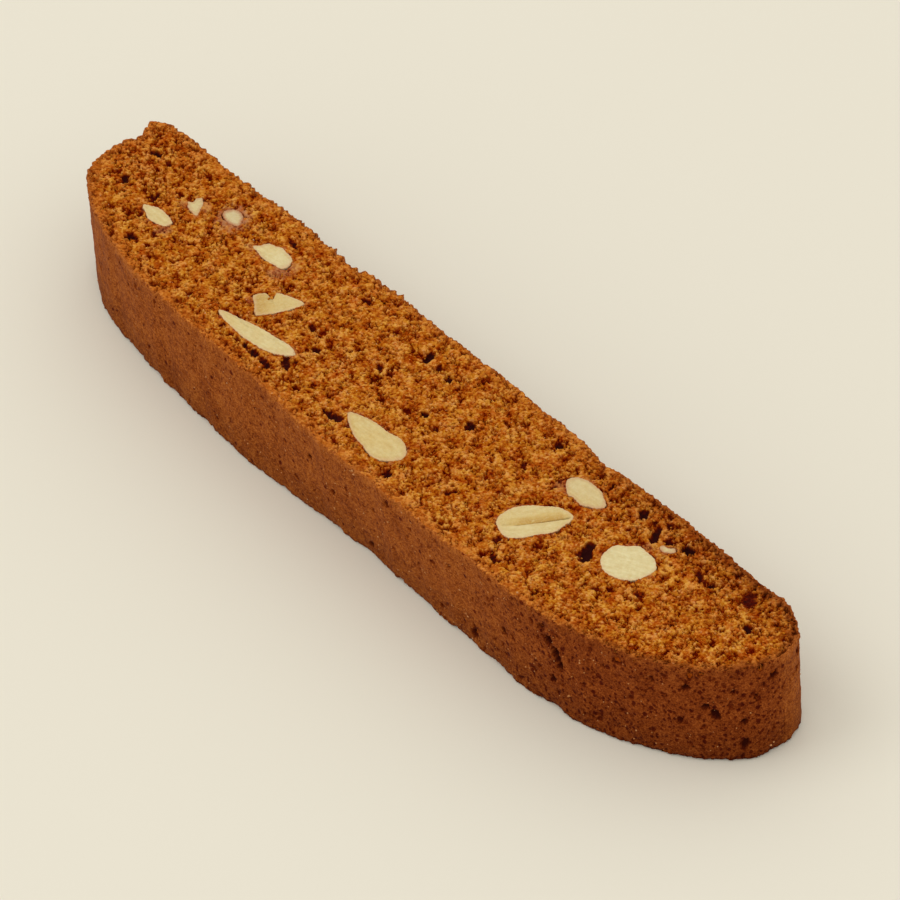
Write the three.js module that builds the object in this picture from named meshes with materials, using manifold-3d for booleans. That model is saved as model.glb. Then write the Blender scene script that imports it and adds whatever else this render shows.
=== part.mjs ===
// Mostaccioli cookie: one long slice of a twice-baked almond loaf, lying on one
// cut face with the other cut face up. Millimetres, +Z up.
// +X runs along the slice, -Y is the domed top crust of the loaf, +Y is the
// flat base crust of the loaf. The lower cut face lies at z = 0.
import * as THREE from 'three';
import Module from 'manifold-3d';

const wasm = await Module();
wasm.setup();

// ------------------------------------------------------------ driving sizes
const LENGTH = 150.0;        // end to end
const THICK = 20.3;          // between the two cut faces
const BASE_Y = 14.4;         // flat base crust, from the long middle line
const DOME_Y = 14.2;         // crown of the dome, from the long middle line
const SHOULDER_Y = 12.5;     // the dome's lower left stretch
const OUTLINE_STEPS = 168;   // points round the slice
const CUT_ROUND_TOP = 0.35;  // worn edge of the upper cut face
const CUT_ROUND_LOW = 0.45;  // worn edge of the lower cut face
const GAP = 0.4;             // bake gap between an almond and the crumb

const R_END = { cx: 35, cy: 7, a: 40, b: 21 };        // rounded right end, dome side
const R_CORNER = { cx: 66, cy: 7, a: 8.9 };           // small right corner, base side
const L_END = { cx: -30, cy: 3, a: 44.6, b: 15.5, p: 2.3 };  // blunt left end, dome side
const L_TIP_Y = 10.8;        // crumbled left corner: start of its turn
const L_TIP = { a: 3.5, b: 2.6 };
const L_BITE = { y: 8.2, depth: 1.1, spread: 1.9 };   // crumb lost from the left end

// steps and tears of the base crust: where, how much lower, how wide
const BASE_STEPS = [{ x0: -24, x1: -31, drop: 0.55 }, { x0: -47, x1: -53, drop: 0.4 }, { x0: 40, x1: 60, drop: 0.3 }];
const BASE_TEARS = [{ x: -29, drop: 0.7, spread: 1.8 }, { x: 28.9, drop: 1.05, spread: 4.2 }];
// how the wall leans in (or out, where negative) at its foot: s is the distance
// round the slice from its right corner, over the base side, the left end and the dome
const FOOT = [{ s: 249.5, lean: 2.10, spread: 18 }, { s: 254, lean: -0.74, spread: 8 }, { s: 216.5, lean: -0.78, spread: 12 },
  { s: 222.5, lean: -0.45, spread: 3.5 }, { s: 179, lean: -0.72, spread: 5.5 }, { s: 296, lean: -0.68, spread: 3.5 },
  { s: 299, lean: 0.11, spread: 18 }, { s: 290, lean: 0.27, spread: 2 }, { s: 321.5, lean: -0.64, spread: 2 },
  { s: 327.5, lean: 0.38, spread: 2 }, { s: 2.3, lean: 0.27, spread: 18 }];
const FOOT_FALLOFF = 1.2;    // how fast the lean fades with height
// slow unevenness of the crust: period along the edge, height, phase
const RIPPLES = [{ period: 23, h: 0.11, ph: 0.4 }, { period: 12.3, h: 0.09, ph: 2.1 },
  { period: 7.1, h: 0.07, ph: 4.0 }, { period: 4.7, h: 0.05, ph: 1.3 }];

// Almond pieces cut through by the knife. x, y: centre; len, wid: the cut
// section; turn: degrees from +X; pa, pb: sharpness of its two ends; egg: how
// much fuller one end is; bow: how much it bends; deep: how far it goes in.
const UPPER_ALMONDS = [
  { name: 'almond_01', x: -58.75, y: -1.05, len: 6.4, wid: 2.65, turn: 0, pa: 0.48, pb: 0.29, egg: 0.19, bow: -0.03, deep: 2.6 },
  { name: 'almond_03', x: -50.0, y: 6.75, len: 4.1, wid: 2.85, turn: -9, pa: 0.05, pb: 0.37, egg: -0.07, bow: 0.12, deep: 2.2 },
  { name: 'almond_04', x: -39.6, y: 5.7, len: 7.2, wid: 3.45, turn: 7, pa: 0.18, pb: 0.04, egg: 0.27, bow: 0.19, deep: 2.8 },
  { name: 'almond_06', x: -28.9, y: -6.25, len: 15.8, wid: 3.15, turn: 8, pa: 0.05, pb: 0.41, egg: 0.34, bow: -0.18, deep: 4.2 },
  { name: 'almond_07', x: -0.15, y: -7.4, len: 13.1, wid: 4.85, turn: -2.5, pa: -0.04, pb: 0.0, egg: 0.44, bow: -0.09, deep: 4.8 },
  { name: 'almond_08', x: 30.8, y: 7.35, len: 8.0, wid: 4.15, turn: -1, pa: 0.12, pb: 0.03, egg: -0.10, bow: -0.02, deep: 3.2 },
  { name: 'almond_09', x: 29.7, y: -1.85, len: 11.6, wid: 6.3, turn: 55, pa: -0.07, pb: 0.02, egg: -0.24, bow: 0.03, deep: 4.6 },
  { name: 'almond_10', x: 45.6, y: 2.55, len: 8.6, wid: 6.9, turn: 26, pa: -0.08, pb: 0.29, egg: -0.03, bow: -0.01, deep: 4.4 },
];
// Broken almond chips: corners of the cut section, and depth
const UPPER_CHIPS = [
  { name: 'almond_02', deep: 1.8, corners: [[-57.7, 4.15], [-56.55, 3.3], [-54.3, 3.0], [-54.85, 4.5], [-55.45, 5.6], [-56.6, 6.4], [-57.2, 5.6], [-56.8, 4.7]] },
  { name: 'almond_05', deep: 3.0, corners: [[-31.8, -4.35], [-30.3, -2.3], [-29.1, -0.3], [-28.0, 2.95], [-29.4, 2.85], [-32.9, 1.5], [-32.6, -0.15], [-33.9, 0.05], [-35.5, -1.7], [-33.8, -2.6]] },
];
const LOWER_ALMONDS = [
  { name: 'almond_u1', x: -52.0, y: 1.5, len: 11.2, wid: 4.6, turn: 21, pa: 0.05, pb: 0.20, egg: 0.20, bow: 0.05, deep: 3.8 },
  { name: 'almond_u2', x: -31.5, y: 6.2, len: 7.6, wid: 3.6, turn: -34, pa: 0.20, pb: 0.05, egg: 0.10, bow: 0.10, deep: 2.8 },
  { name: 'almond_u3', x: -15.5, y: -4.6, len: 14.2, wid: 5.0, turn: 11, pa: 0.0, pb: 0.10, egg: -0.22, bow: -0.06, deep: 4.4 },
  { name: 'almond_u4', x: 12.0, y: 5.6, len: 7.4, wid: 5.4, turn: 58, pa: 0.0, pb: 0.05, egg: 0.08, bow: 0.0, deep: 3.6 },
  { name: 'almond_u5', x: 30.5, y: -5.4, len: 12.6, wid: 4.0, turn: -14, pa: 0.10, pb: 0.30, egg: 0.18, bow: -0.08, deep: 3.4 },
  { name: 'almond_u6', x: 50.5, y: 3.2, len: 8.8, wid: 5.8, turn: 38, pa: 0.0, pb: 0.08, egg: -0.12, bow: 0.0, deep: 3.6 },
];

// Open pores of the crumb, large enough to be real holes: x, y, length, width,
// turn in degrees, depth
const UPPER_PORES = [
  [39.6, -0.4, 4.8, 2.1, -62, 3.2], [63.4, 10.4, 3.6, 2.6, -45, 2.2], [67.4, 6.4, 2.1, 1.3, -20, 1.6],
  [57.3, 8.3, 1.6, 1.3, 0, 1.8], [54.9, 8.3, 2.9, 1.0, -36, 1.4], [44.2, 9.2, 3.8, 1.3, -62, 1.5],
  [39.7, 10.8, 1.9, 1.5, -37, 1.4], [8.3, 4.2, 2.1, 1.5, -46, 1.8], [6.9, -11.1, 1.9, 1.3, -51, 1.3],
  [27.6, -8.6, 1.6, 1.0, -7, 1.4], [30.5, -10.9, 3.4, 1.0, -27, 1.4], [-8.0, -9.3, 4.0, 1.3, 5, 1.4],
  [-20.6, -8.0, 2.3, 1.1, -52, 1.5], [-69.2, 7.6, 2.4, 1.3, 22, 1.4], [-62.0, 1.5, 2.4, 1.1, -70, 1.4],
  [-39.3, 10.0, 2.8, 1.0, -13, 1.3],
];
const LOWER_PORES = [
  [-63.0, 5.0, 3.4, 2.0, 30, 2.0], [-40.0, -4.5, 2.6, 1.5, -40, 1.6], [-4.5, 7.5, 3.0, 1.8, 15, 1.8],
  [21.0, -9.0, 2.4, 1.4, 60, 1.5], [39.0, 8.5, 2.8, 1.6, -20, 1.6], [64.0, -1.0, 3.0, 1.9, 50, 1.8],
];

// ------------------------------------------------------------ helpers
const smooth = (a, b, x) => { const t = Math.min(1, Math.max(0, (x - a) / (b - a))); return t * t * (3 - 2 * t); };
const bell = (x, mid, spread) => Math.exp(-(((x - mid) / spread) ** 2));
const rad = (deg) => deg * Math.PI / 180;

function baseCrust(x) {
  let y = BASE_Y;
  for (const s of BASE_STEPS) y -= s.drop * smooth(s.x0, s.x1, x);
  for (const t of BASE_TEARS) y -= t.drop * bell(x, t.x, t.spread);
  return y;
}
function domeCrust(x) {
  if (x < L_END.cx) {
    const t = Math.min(1, (L_END.cx - x) / L_END.a);
    return L_END.cy - L_END.b * (1 - t ** L_END.p) ** (1 / L_END.p);
  }
  if (x > R_END.cx) return R_END.cy - R_END.b * Math.sqrt(Math.max(0, 1 - ((x - R_END.cx) / R_END.a) ** 2));
  const crown = DOME_Y - 0.2 * smooth(5, R_END.cx, x);
  return -(SHOULDER_Y + (crown - SHOULDER_Y) * smooth(L_END.cx, -3, x));
}
function leftEnd(y) {
  let x = L_END.cx - L_END.a + L_BITE.depth * bell(y, L_BITE.y, L_BITE.spread);
  if (y > L_TIP_Y) x += L_TIP.a * (1 - Math.sqrt(Math.max(0, 1 - ((y - L_TIP_Y) / L_TIP.b) ** 2)));
  return x;
}

// Closed outline of the slice, counter-clockwise from the right end, evenly
// spaced, with its outward normals
function sliceOutline(steps) {
  const raw = [];
  for (let k = 0; k < 40; k++) {                       // right corner, base side
    const t = k / 40 * Math.PI / 2;
    raw.push([R_CORNER.cx + R_CORNER.a * Math.cos(t), R_CORNER.cy + (baseCrust(R_CORNER.cx) - R_CORNER.cy) * Math.sin(t)]);
  }
  const xl = leftEnd(L_TIP_Y + L_TIP.b * 0.97);
  for (let k = 0; k <= 600; k++) {                     // base crust, to the left
    const x = R_CORNER.cx + (xl - R_CORNER.cx) * k / 600;
    raw.push([x, baseCrust(x)]);
  }
  for (let k = 1; k <= 60; k++) {                      // left end, downward
    const y = L_TIP_Y + L_TIP.b * 0.9 + (L_END.cy - L_TIP_Y - L_TIP.b * 0.9) * k / 60;
    raw.push([leftEnd(y), y]);
  }
  for (let k = 1; k < 200; k++) {                      // left end, dome side
    const t = k / 200 * Math.PI / 2;
    const x = L_END.cx - L_END.a * Math.cos(t);
    raw.push([x, domeCrust(x)]);
  }
  for (let k = 0; k <= 260; k++) {                     // crown of the dome
    const x = L_END.cx + (R_END.cx - L_END.cx) * k / 260;
    raw.push([x, domeCrust(x)]);
  }
  for (let k = 1; k < 200; k++) {                      // right end, dome side
    const t = k / 200 * Math.PI / 2;
    raw.push([R_END.cx + R_END.a * Math.sin(t), R_END.cy - R_END.b * Math.cos(t)]);
  }
  const s = [0];
  for (let i = 0; i < raw.length; i++) {
    const a = raw[i], b = raw[(i + 1) % raw.length];
    s.push(s[i] + Math.hypot(b[0] - a[0], b[1] - a[1]));
  }
  const total = s[raw.length];
  const pts = [];
  for (let k = 0, i = 0; k < steps; k++) {
    const want = total * k / steps;
    while (s[i + 1] < want) i++;
    const a = raw[i], b = raw[(i + 1) % raw.length], f = (want - s[i]) / (s[i + 1] - s[i]);
    pts.push([a[0] + (b[0] - a[0]) * f, a[1] + (b[1] - a[1]) * f]);
  }
  const out = pts.map((p, k) => {
    const a = pts[(k + steps - 1) % steps], b = pts[(k + 1) % steps];
    const l = Math.hypot(b[0] - a[0], b[1] - a[1]);
    const n = [(b[1] - a[1]) / l, -(b[0] - a[0]) / l];
    let h = 0;
    for (const r of RIPPLES) {
      const waves = Math.round(total / r.period);
      h += r.h * Math.sin(2 * Math.PI * waves * k / steps + r.ph);
    }
    return { x: p[0] + n[0] * h, y: p[1] + n[1] * h, nx: n[0], ny: n[1], s: total * k / steps, total };
  });
  const xs = out.map((p) => p.x), ys = out.map((p) => p.y);
  const x0 = Math.min(...xs), x1 = Math.max(...xs), y0 = Math.min(...ys), y1 = Math.max(...ys);
  const scale = LENGTH / (x1 - x0);
  for (const p of out) { p.x = (p.x - (x0 + x1) / 2) * scale; p.y -= (y0 + y1) / 2; }
  return out;
}

// Crust wall: how far the outline moves at a height z
function wallPoint(p, z) {
  const up = z / THICK;
  let inset = 0;
  if (z < 1.6) inset += CUT_ROUND_LOW * (1 - Math.sqrt(Math.max(0, 1 - (1 - z / 1.6) ** 2)));
  if (z > THICK - 1.0) inset += CUT_ROUND_TOP * (1 - Math.sqrt(Math.max(0, 1 - (1 - (THICK - z) / 1.0) ** 2)));
  for (const f of FOOT) {
    const round = p.total, d = (((p.s - f.s + round / 2) % round) + round) % round - round / 2;
    inset += f.lean * bell(d, 0, f.spread) * (1 - up) ** FOOT_FALLOFF;
  }
  return [p.x - p.nx * inset, p.y - p.ny * inset];
}

function closedGeometry(levels, capLow, capHigh) {
  // levels: loops of [x, y, z], low to high, counter-clockwise from above
  const n = levels[0].length, pos = levels.flat(2), idx = [];
  for (let l = 0; l + 1 < levels.length; l++) {
    for (let k = 0; k < n; k++) {
      const a = l * n + k, b = l * n + (k + 1) % n, c = b + n, d = a + n;
      idx.push(a, b, c, a, c, d);
    }
  }
  const flat = (loop) => loop.map((p) => new THREE.Vector2(p[0], p[1]));
  if (capLow) for (const t of THREE.ShapeUtils.triangulateShape(flat(levels[0]), [])) idx.push(t[0], t[2], t[1]);
  const off = (levels.length - 1) * n;
  if (capHigh) for (const t of THREE.ShapeUtils.triangulateShape(flat(levels[levels.length - 1]), [])) idx.push(off + t[0], off + t[1], off + t[2]);
  const g = new THREE.BufferGeometry();
  g.setAttribute('position', new THREE.Float32BufferAttribute(pos, 3));
  g.setIndex(idx);
  return g;
}
const toSolid = (g) => new wasm.Manifold(new wasm.Mesh({
  numProp: 3, vertProperties: new Float32Array(g.getAttribute('position').array), triVerts: new Uint32Array(g.getIndex().array),
}));
function toGeometry(solid) {
  const m = solid.getMesh(), g = new THREE.BufferGeometry();
  g.setAttribute('position', new THREE.Float32BufferAttribute(new Float32Array(m.vertProperties), 3));
  g.setIndex(new THREE.Uint32BufferAttribute(new Uint32Array(m.triVerts), 1));
  return g;
}

// Cut section of an almond, counter-clockwise
function almondSection(a, steps) {
  const loop = [], c = Math.cos(rad(a.turn)), s = Math.sin(rad(a.turn));
  for (let k = 0; k < steps; k++) {
    const t = 2 * Math.PI * k / steps, ct = Math.cos(t), st = Math.sin(t);
    const e = a.pa + (a.pb - a.pa) * (1 + ct) / 2;
    const u = a.len / 2 * ct;
    const v = a.wid / 2 * Math.sign(st) * Math.abs(st) ** (1 + e) * (1 + a.egg * ct) + a.bow * a.wid * st * st;
    loop.push([a.x + u * c - v * s, a.y + u * s + v * c]);
  }
  return loop;
}
// Cut section of a chip: its corners with each corner cut once
function chipSection(chip) {
  const loop = [], q = chip.corners, n = q.length;
  for (let k = 0; k < n; k++) {
    const a = q[k], b = q[(k + 1) % n];
    loop.push([a[0] * 0.8 + b[0] * 0.2, a[1] * 0.8 + b[1] * 0.2], [a[0] * 0.2 + b[0] * 0.8, a[1] * 0.2 + b[1] * 0.8]);
  }
  return loop;
}
function grow(loop, d) {
  const n = loop.length;
  return loop.map((p, k) => {
    const a = loop[(k + n - 1) % n], b = loop[(k + 1) % n];
    const e0 = [p[0] - a[0], p[1] - a[1]], e1 = [b[0] - p[0], b[1] - p[1]];
    const l0 = Math.hypot(...e0), l1 = Math.hypot(...e1);
    const n0 = [e0[1] / l0, -e0[0] / l0], n1 = [e1[1] / l1, -e1[0] / l1];
    const m = [n0[0] + n1[0], n0[1] + n1[1]];
    const f = Math.min(1.6, 2 / Math.max(0.4, m[0] * m[0] + m[1] * m[1]));
    return [p[0] + m[0] * d * f, p[1] + m[1] * d * f];
  });
}
// Bowl-shaped body under a cut section; cut face at zFace, going in by `deep`,
// dir = -1 downward from the upper face, +1 upward from the lower face.
// lip > 0 carries the section out past the face, for a pocket.
function almondBody(section, zFace, dir, deep, lip, rings) {
  const n = section.length;
  const mid = section.reduce((s, p) => [s[0] + p[0] / n, s[1] + p[1] / n], [0, 0]);
  const levels = [];
  if (lip > 0) levels.push(section.map((p) => [p[0], p[1], zFace - dir * lip]));
  for (let r = 0; r < rings; r++) {
    const t = r / rings * Math.PI / 2, f = Math.cos(t) ** 0.75;
    levels.push(section.map((p) => [mid[0] + (p[0] - mid[0]) * f, mid[1] + (p[1] - mid[1]) * f, zFace + dir * deep * Math.sin(t)]));
  }
  const tip = levels[levels.length - 1].map((p) => [mid[0] + (p[0] - mid[0]) * 0.45, mid[1] + (p[1] - mid[1]) * 0.45, zFace + dir * deep]);
  levels.push(tip);
  if (dir < 0) levels.reverse();
  return closedGeometry(levels, true, true);
}

// ------------------------------------------------------------ the slice
const outline = sliceOutline(OUTLINE_STEPS);
const heights = [0, 0.35, 1.6, THICK * 0.4, THICK * 0.72, THICK - 1.0, THICK - 0.3, THICK];
const wall = heights.map((z) => outline.map((p) => [...wallPoint(p, z), z]));
let slice = toSolid(closedGeometry(wall, true, true));

const upper = [...UPPER_ALMONDS.map((a) => ({ ...a, loop: almondSection(a, 20) })),
  ...UPPER_CHIPS.map((c) => ({ ...c, loop: chipSection(c) }))].sort((a, b) => (a.name < b.name ? -1 : 1));
const lower = LOWER_ALMONDS.map((a) => ({ ...a, loop: almondSection(a, 18) }));
for (const a of upper) slice = slice.subtract(toSolid(almondBody(grow(a.loop, GAP), THICK, -1, a.deep + GAP, 0.6, 3)));
for (const a of lower) slice = slice.subtract(toSolid(almondBody(grow(a.loop, GAP), 0, 1, a.deep + GAP, 0.6, 3)));

function poreSolid([x, y, len, wid, turn, deep], z) {
  // rings of a flattened ball, closed at both ends
  const loops = [];
  for (let r = 1; r < 6; r++) {
    const t = Math.PI * (1 - r / 6), loop = [];
    for (let k = 0; k < 8; k++) {
      const p = 2 * Math.PI * k / 8, u = len / 2 * Math.sin(t) * Math.cos(p), v = wid / 2 * Math.sin(t) * Math.sin(p);
      const c = Math.cos(rad(turn)), s = Math.sin(rad(turn));
      loop.push([x + u * c - v * s, y + u * s + v * c, z + deep * Math.cos(t)]);
    }
    loops.push(loop);
  }
  return toSolid(closedGeometry(loops, true, true));
}
for (const p of UPPER_PORES) slice = slice.subtract(poreSolid(p, THICK));
for (const p of LOWER_PORES) slice = slice.subtract(poreSolid(p, 0));

// ------------------------------------------------------------ the scene graph
const cookie = new THREE.Group();
const add = (name, geometry, color, roughness) => {
  const mesh = new THREE.Mesh(geometry, new THREE.MeshStandardMaterial({ color, roughness, metalness: 0 }));
  mesh.name = name;
  cookie.add(mesh);
};
add('cookie_slice', toGeometry(slice), 0x9c5420, 0.85);
for (const a of upper) add(a.name, almondBody(a.loop, THICK, -1, a.deep, 0, 3), 0xdccb99, 0.6);
for (const a of lower) add(a.name, almondBody(a.loop, 0, 1, a.deep, 0, 3), 0xdccb99, 0.6);

export default cookie;
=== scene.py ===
"""Looks of the mostaccioli cookie: one long slice of a twice-baked almond loaf on a plain pale floor.

The crumb of the two cut faces, the crust round the side, the cut almonds and the loose crumbs are meshes
worked out here with numpy. Sizes in this file are millimetres until a mesh is made.
"""
import math

import bpy
import numpy as np
from mathutils import Matrix, Vector


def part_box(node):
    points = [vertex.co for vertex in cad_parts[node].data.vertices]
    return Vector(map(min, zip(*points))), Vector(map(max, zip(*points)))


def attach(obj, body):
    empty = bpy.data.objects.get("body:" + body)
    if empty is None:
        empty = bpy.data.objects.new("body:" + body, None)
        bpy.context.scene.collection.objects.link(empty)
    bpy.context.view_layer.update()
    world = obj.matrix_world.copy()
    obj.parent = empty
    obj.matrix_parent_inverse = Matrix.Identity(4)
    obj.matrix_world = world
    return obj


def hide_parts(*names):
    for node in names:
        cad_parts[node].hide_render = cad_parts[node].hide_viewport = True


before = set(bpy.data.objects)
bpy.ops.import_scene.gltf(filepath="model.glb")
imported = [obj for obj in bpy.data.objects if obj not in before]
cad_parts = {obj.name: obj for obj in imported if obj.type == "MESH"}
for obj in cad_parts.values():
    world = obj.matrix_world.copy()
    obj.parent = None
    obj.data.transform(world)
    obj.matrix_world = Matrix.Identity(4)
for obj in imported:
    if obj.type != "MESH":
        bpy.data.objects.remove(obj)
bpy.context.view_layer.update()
MM = 0.001

lo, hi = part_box("cookie_slice")
THICK = (hi[2] - lo[2]) / MM
LENGTH = round((hi[0] - lo[0]) / MM, 1)

# ------------------------------------------------------------------ slice outline, as in the CAD
BASE_Y, DOME_Y, SHOULDER_Y = 14.4, 14.2, 12.5
OUTLINE_STEPS = 168
CUT_ROUND_TOP, CUT_ROUND_LOW = 0.35, 0.45
R_END = dict(cx=35.0, cy=7.0, a=40.0, b=21.0)
R_CORNER = dict(cx=66.0, cy=7.0, a=8.9)
L_END = dict(cx=-30.0, cy=3.0, a=44.6, b=15.5, p=2.3)
L_TIP_Y, L_TIP = 10.8, dict(a=3.5, b=2.6)
L_BITE = dict(y=8.2, depth=1.1, spread=1.9)
BASE_STEPS = [(-24, -31, 0.55), (-47, -53, 0.4), (40, 60, 0.3)]
BASE_TEARS = [(-29, 0.7, 1.8), (28.9, 1.05, 4.2)]
RIPPLES = [(23, 0.11, 0.4), (12.3, 0.09, 2.1), (7.1, 0.07, 4.0), (4.7, 0.05, 1.3)]
# the foot of the wall: where round the slice, how far it leans in, how wide
FOOT = [(249.5, 2.10, 18), (254, -0.74, 8), (216.5, -0.78, 12), (222.5, -0.45, 3.5), (179, -0.72, 5.5), (296, -0.68, 3.5),
        (299, 0.11, 18), (290, 0.27, 2), (321.5, -0.64, 2), (327.5, 0.38, 2), (2.3, 0.27, 18)]
FOOT_FALLOFF = 1.2


def smooth(a, b, x):
    t = np.clip((x - a) / (b - a), 0, 1)
    return t * t * (3 - 2 * t)


def bell(x, mid, spread):
    return np.exp(-((x - mid) / spread) ** 2)


def base_crust(x):
    y = BASE_Y + 0 * x
    for x0, x1, drop in BASE_STEPS:
        y = y - drop * smooth(x0, x1, x)
    for xm, drop, spread in BASE_TEARS:
        y = y - drop * bell(x, xm, spread)
    return y


def dome_crust(x):
    tl = np.clip((L_END["cx"] - x) / L_END["a"], 0, 1)
    yl = L_END["cy"] - L_END["b"] * (1 - tl ** L_END["p"]) ** (1 / L_END["p"])
    tr = np.clip((x - R_END["cx"]) / R_END["a"], 0, 1)
    yr = R_END["cy"] - R_END["b"] * np.sqrt(1 - tr ** 2)
    crown = DOME_Y - 0.2 * smooth(5, R_END["cx"], x)
    ym = -(SHOULDER_Y + (crown - SHOULDER_Y) * smooth(L_END["cx"], -3, x))
    return np.where(x < L_END["cx"], yl, np.where(x > R_END["cx"], yr, ym))


def left_end(y):
    x = L_END["cx"] - L_END["a"] + L_BITE["depth"] * bell(y, L_BITE["y"], L_BITE["spread"])
    t = np.clip((y - L_TIP_Y) / L_TIP["b"], 0, 1)
    return x + np.where(y > L_TIP_Y, L_TIP["a"] * (1 - np.sqrt(1 - t ** 2)), 0)


def raw_outline(steps):
    t = np.arange(40) / 40 * np.pi / 2
    top = float(base_crust(np.float64(R_CORNER["cx"])))
    raw = [np.c_[R_CORNER["cx"] + R_CORNER["a"] * np.cos(t), R_CORNER["cy"] + (top - R_CORNER["cy"]) * np.sin(t)]]
    xl = float(left_end(np.float64(L_TIP_Y + L_TIP["b"] * 0.97)))
    x = R_CORNER["cx"] + (xl - R_CORNER["cx"]) * np.arange(601) / 600
    raw.append(np.c_[x, base_crust(x)])
    y0 = L_TIP_Y + L_TIP["b"] * 0.9
    y = y0 + (L_END["cy"] - y0) * np.arange(1, 61) / 60
    raw.append(np.c_[left_end(y), y])
    t = np.arange(1, 200) / 200 * np.pi / 2
    x = L_END["cx"] - L_END["a"] * np.cos(t)
    raw.append(np.c_[x, dome_crust(x)])
    x = L_END["cx"] + (R_END["cx"] - L_END["cx"]) * np.arange(261) / 260
    raw.append(np.c_[x, dome_crust(x)])
    raw.append(np.c_[R_END["cx"] + R_END["a"] * np.sin(t), R_END["cy"] - R_END["b"] * np.cos(t)])
    raw = np.vstack(raw)
    ring = np.vstack([raw, raw[:1]])
    s = np.r_[0, np.cumsum(np.hypot(*np.diff(ring, axis=0).T))]
    total = s[-1]
    want = total * np.arange(steps) / steps
    pts = np.c_[np.interp(want, s, ring[:, 0]), np.interp(want, s, ring[:, 1])]
    e = np.roll(pts, -1, 0) - np.roll(pts, 1, 0)
    e /= np.hypot(*e.T)[:, None]
    n = np.c_[e[:, 1], -e[:, 0]]
    h = sum(a * np.sin(2 * np.pi * round(total / p) * np.arange(steps) / steps + ph) for p, a, ph in RIPPLES)
    return pts + n * h[:, None], n, total


_c, _, PERIMETER = raw_outline(OUTLINE_STEPS)
_mid, _stretch = (_c.min(0) + _c.max(0)) / 2, LENGTH / np.ptp(_c[:, 0])


def outline(steps):
    """Outline of the slice, evenly spaced, counter-clockwise, and its outward normals."""
    p, n, _ = raw_outline(steps)
    p = p - _mid
    p[:, 0] *= _stretch
    return p, n


def lean(s, z):
    """How far the wall leans in at height z and distance s round the slice."""
    out = 0 * s
    for c, a, w in FOOT:
        out = out + a * bell((s - c + PERIMETER / 2) % PERIMETER, PERIMETER / 2, w)
    return out * max(0.0, 1 - z / THICK) ** FOOT_FALLOFF


def ring_noise(n, wave, spread, seed):
    """Noise round the slice, the same for every number of steps."""
    m = 8192
    rng = np.random.default_rng(seed)
    w = np.fft.rfft(rng.standard_normal(m))
    f = np.fft.rfftfreq(m, PERIMETER / m)
    w *= np.exp(-0.5 * (np.log(np.maximum(f, 1e-9) * wave) / spread) ** 2)
    r = np.fft.irfft(w, m)
    r /= r.std()
    return np.interp(np.arange(n) / n * m, np.arange(m + 1), np.r_[r, r[:1]])


def ragged(n):
    """Crumbly unevenness of the cut edges, stronger round the left end."""
    s = PERIMETER * np.arange(n) / n
    more = 1 + 0.6 * smooth(70, 110, s) * smooth(185, 172, s)
    return more * (0.075 * ring_noise(n, 2.2, 0.45, 901) + 0.055 * ring_noise(n, 1.0, 0.3, 902))


# ------------------------------------------------------------------ almonds and pores
ALMONDS = {
    "almond_01": dict(x=-58.75, y=-1.05, len=6.4, wid=2.65, turn=0, pa=0.48, pb=0.29, egg=0.19, bow=-0.03),
    "almond_03": dict(x=-50.0, y=6.75, len=4.1, wid=2.85, turn=-9, pa=0.05, pb=0.37, egg=-0.07, bow=0.12),
    "almond_04": dict(x=-39.6, y=5.7, len=7.2, wid=3.45, turn=7, pa=0.18, pb=0.04, egg=0.27, bow=0.19),
    "almond_06": dict(x=-28.9, y=-6.25, len=15.8, wid=3.15, turn=8, pa=0.05, pb=0.41, egg=0.34, bow=-0.18),
    "almond_07": dict(x=-0.15, y=-7.4, len=13.1, wid=4.85, turn=-2.5, pa=-0.04, pb=0.0, egg=0.44, bow=-0.09),
    "almond_08": dict(x=30.8, y=7.35, len=8.0, wid=4.15, turn=-1, pa=0.12, pb=0.03, egg=-0.10, bow=-0.02),
    "almond_09": dict(x=29.7, y=-1.85, len=11.6, wid=6.3, turn=55, pa=-0.07, pb=0.02, egg=-0.24, bow=0.03),
    "almond_10": dict(x=45.6, y=2.55, len=8.6, wid=6.9, turn=26, pa=-0.08, pb=0.29, egg=-0.03, bow=-0.01),
    "almond_u1": dict(x=-52.0, y=1.5, len=11.2, wid=4.6, turn=21, pa=0.05, pb=0.20, egg=0.20, bow=0.05),
    "almond_u2": dict(x=-31.5, y=6.2, len=7.6, wid=3.6, turn=-34, pa=0.20, pb=0.05, egg=0.10, bow=0.10),
    "almond_u3": dict(x=-15.5, y=-4.6, len=14.2, wid=5.0, turn=11, pa=0.0, pb=0.10, egg=-0.22, bow=-0.06),
    "almond_u4": dict(x=12.0, y=5.6, len=7.4, wid=5.4, turn=58, pa=0.0, pb=0.05, egg=0.08, bow=0.0),
    "almond_u5": dict(x=30.5, y=-5.4, len=12.6, wid=4.0, turn=-14, pa=0.10, pb=0.30, egg=0.18, bow=-0.08),
    "almond_u6": dict(x=50.5, y=3.2, len=8.8, wid=5.8, turn=38, pa=0.0, pb=0.08, egg=-0.12, bow=0.0),
}
CHIPS = {
    "almond_02": [(-57.7, 4.15), (-56.55, 3.3), (-54.5, 2.95), (-54.2, 3.4), (-54.85, 4.5), (-55.45, 5.6), (-56.6, 6.4),
                  (-57.2, 5.6), (-56.8, 4.7)],
    "almond_05": [(-31.8, -4.35), (-30.8, -2.8), (-29.55, -1.0), (-28.0, 2.95), (-29.4, 2.85), (-31.4, 2.2), (-32.95, 1.5),
                  (-33.1, 1.1), (-32.4, 0.15), (-32.5, -0.5), (-33.1, -0.75), (-33.75, 0.1), (-34.4, 0.1), (-35.5, -1.7), (-33.8, -2.6)],
}
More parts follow.
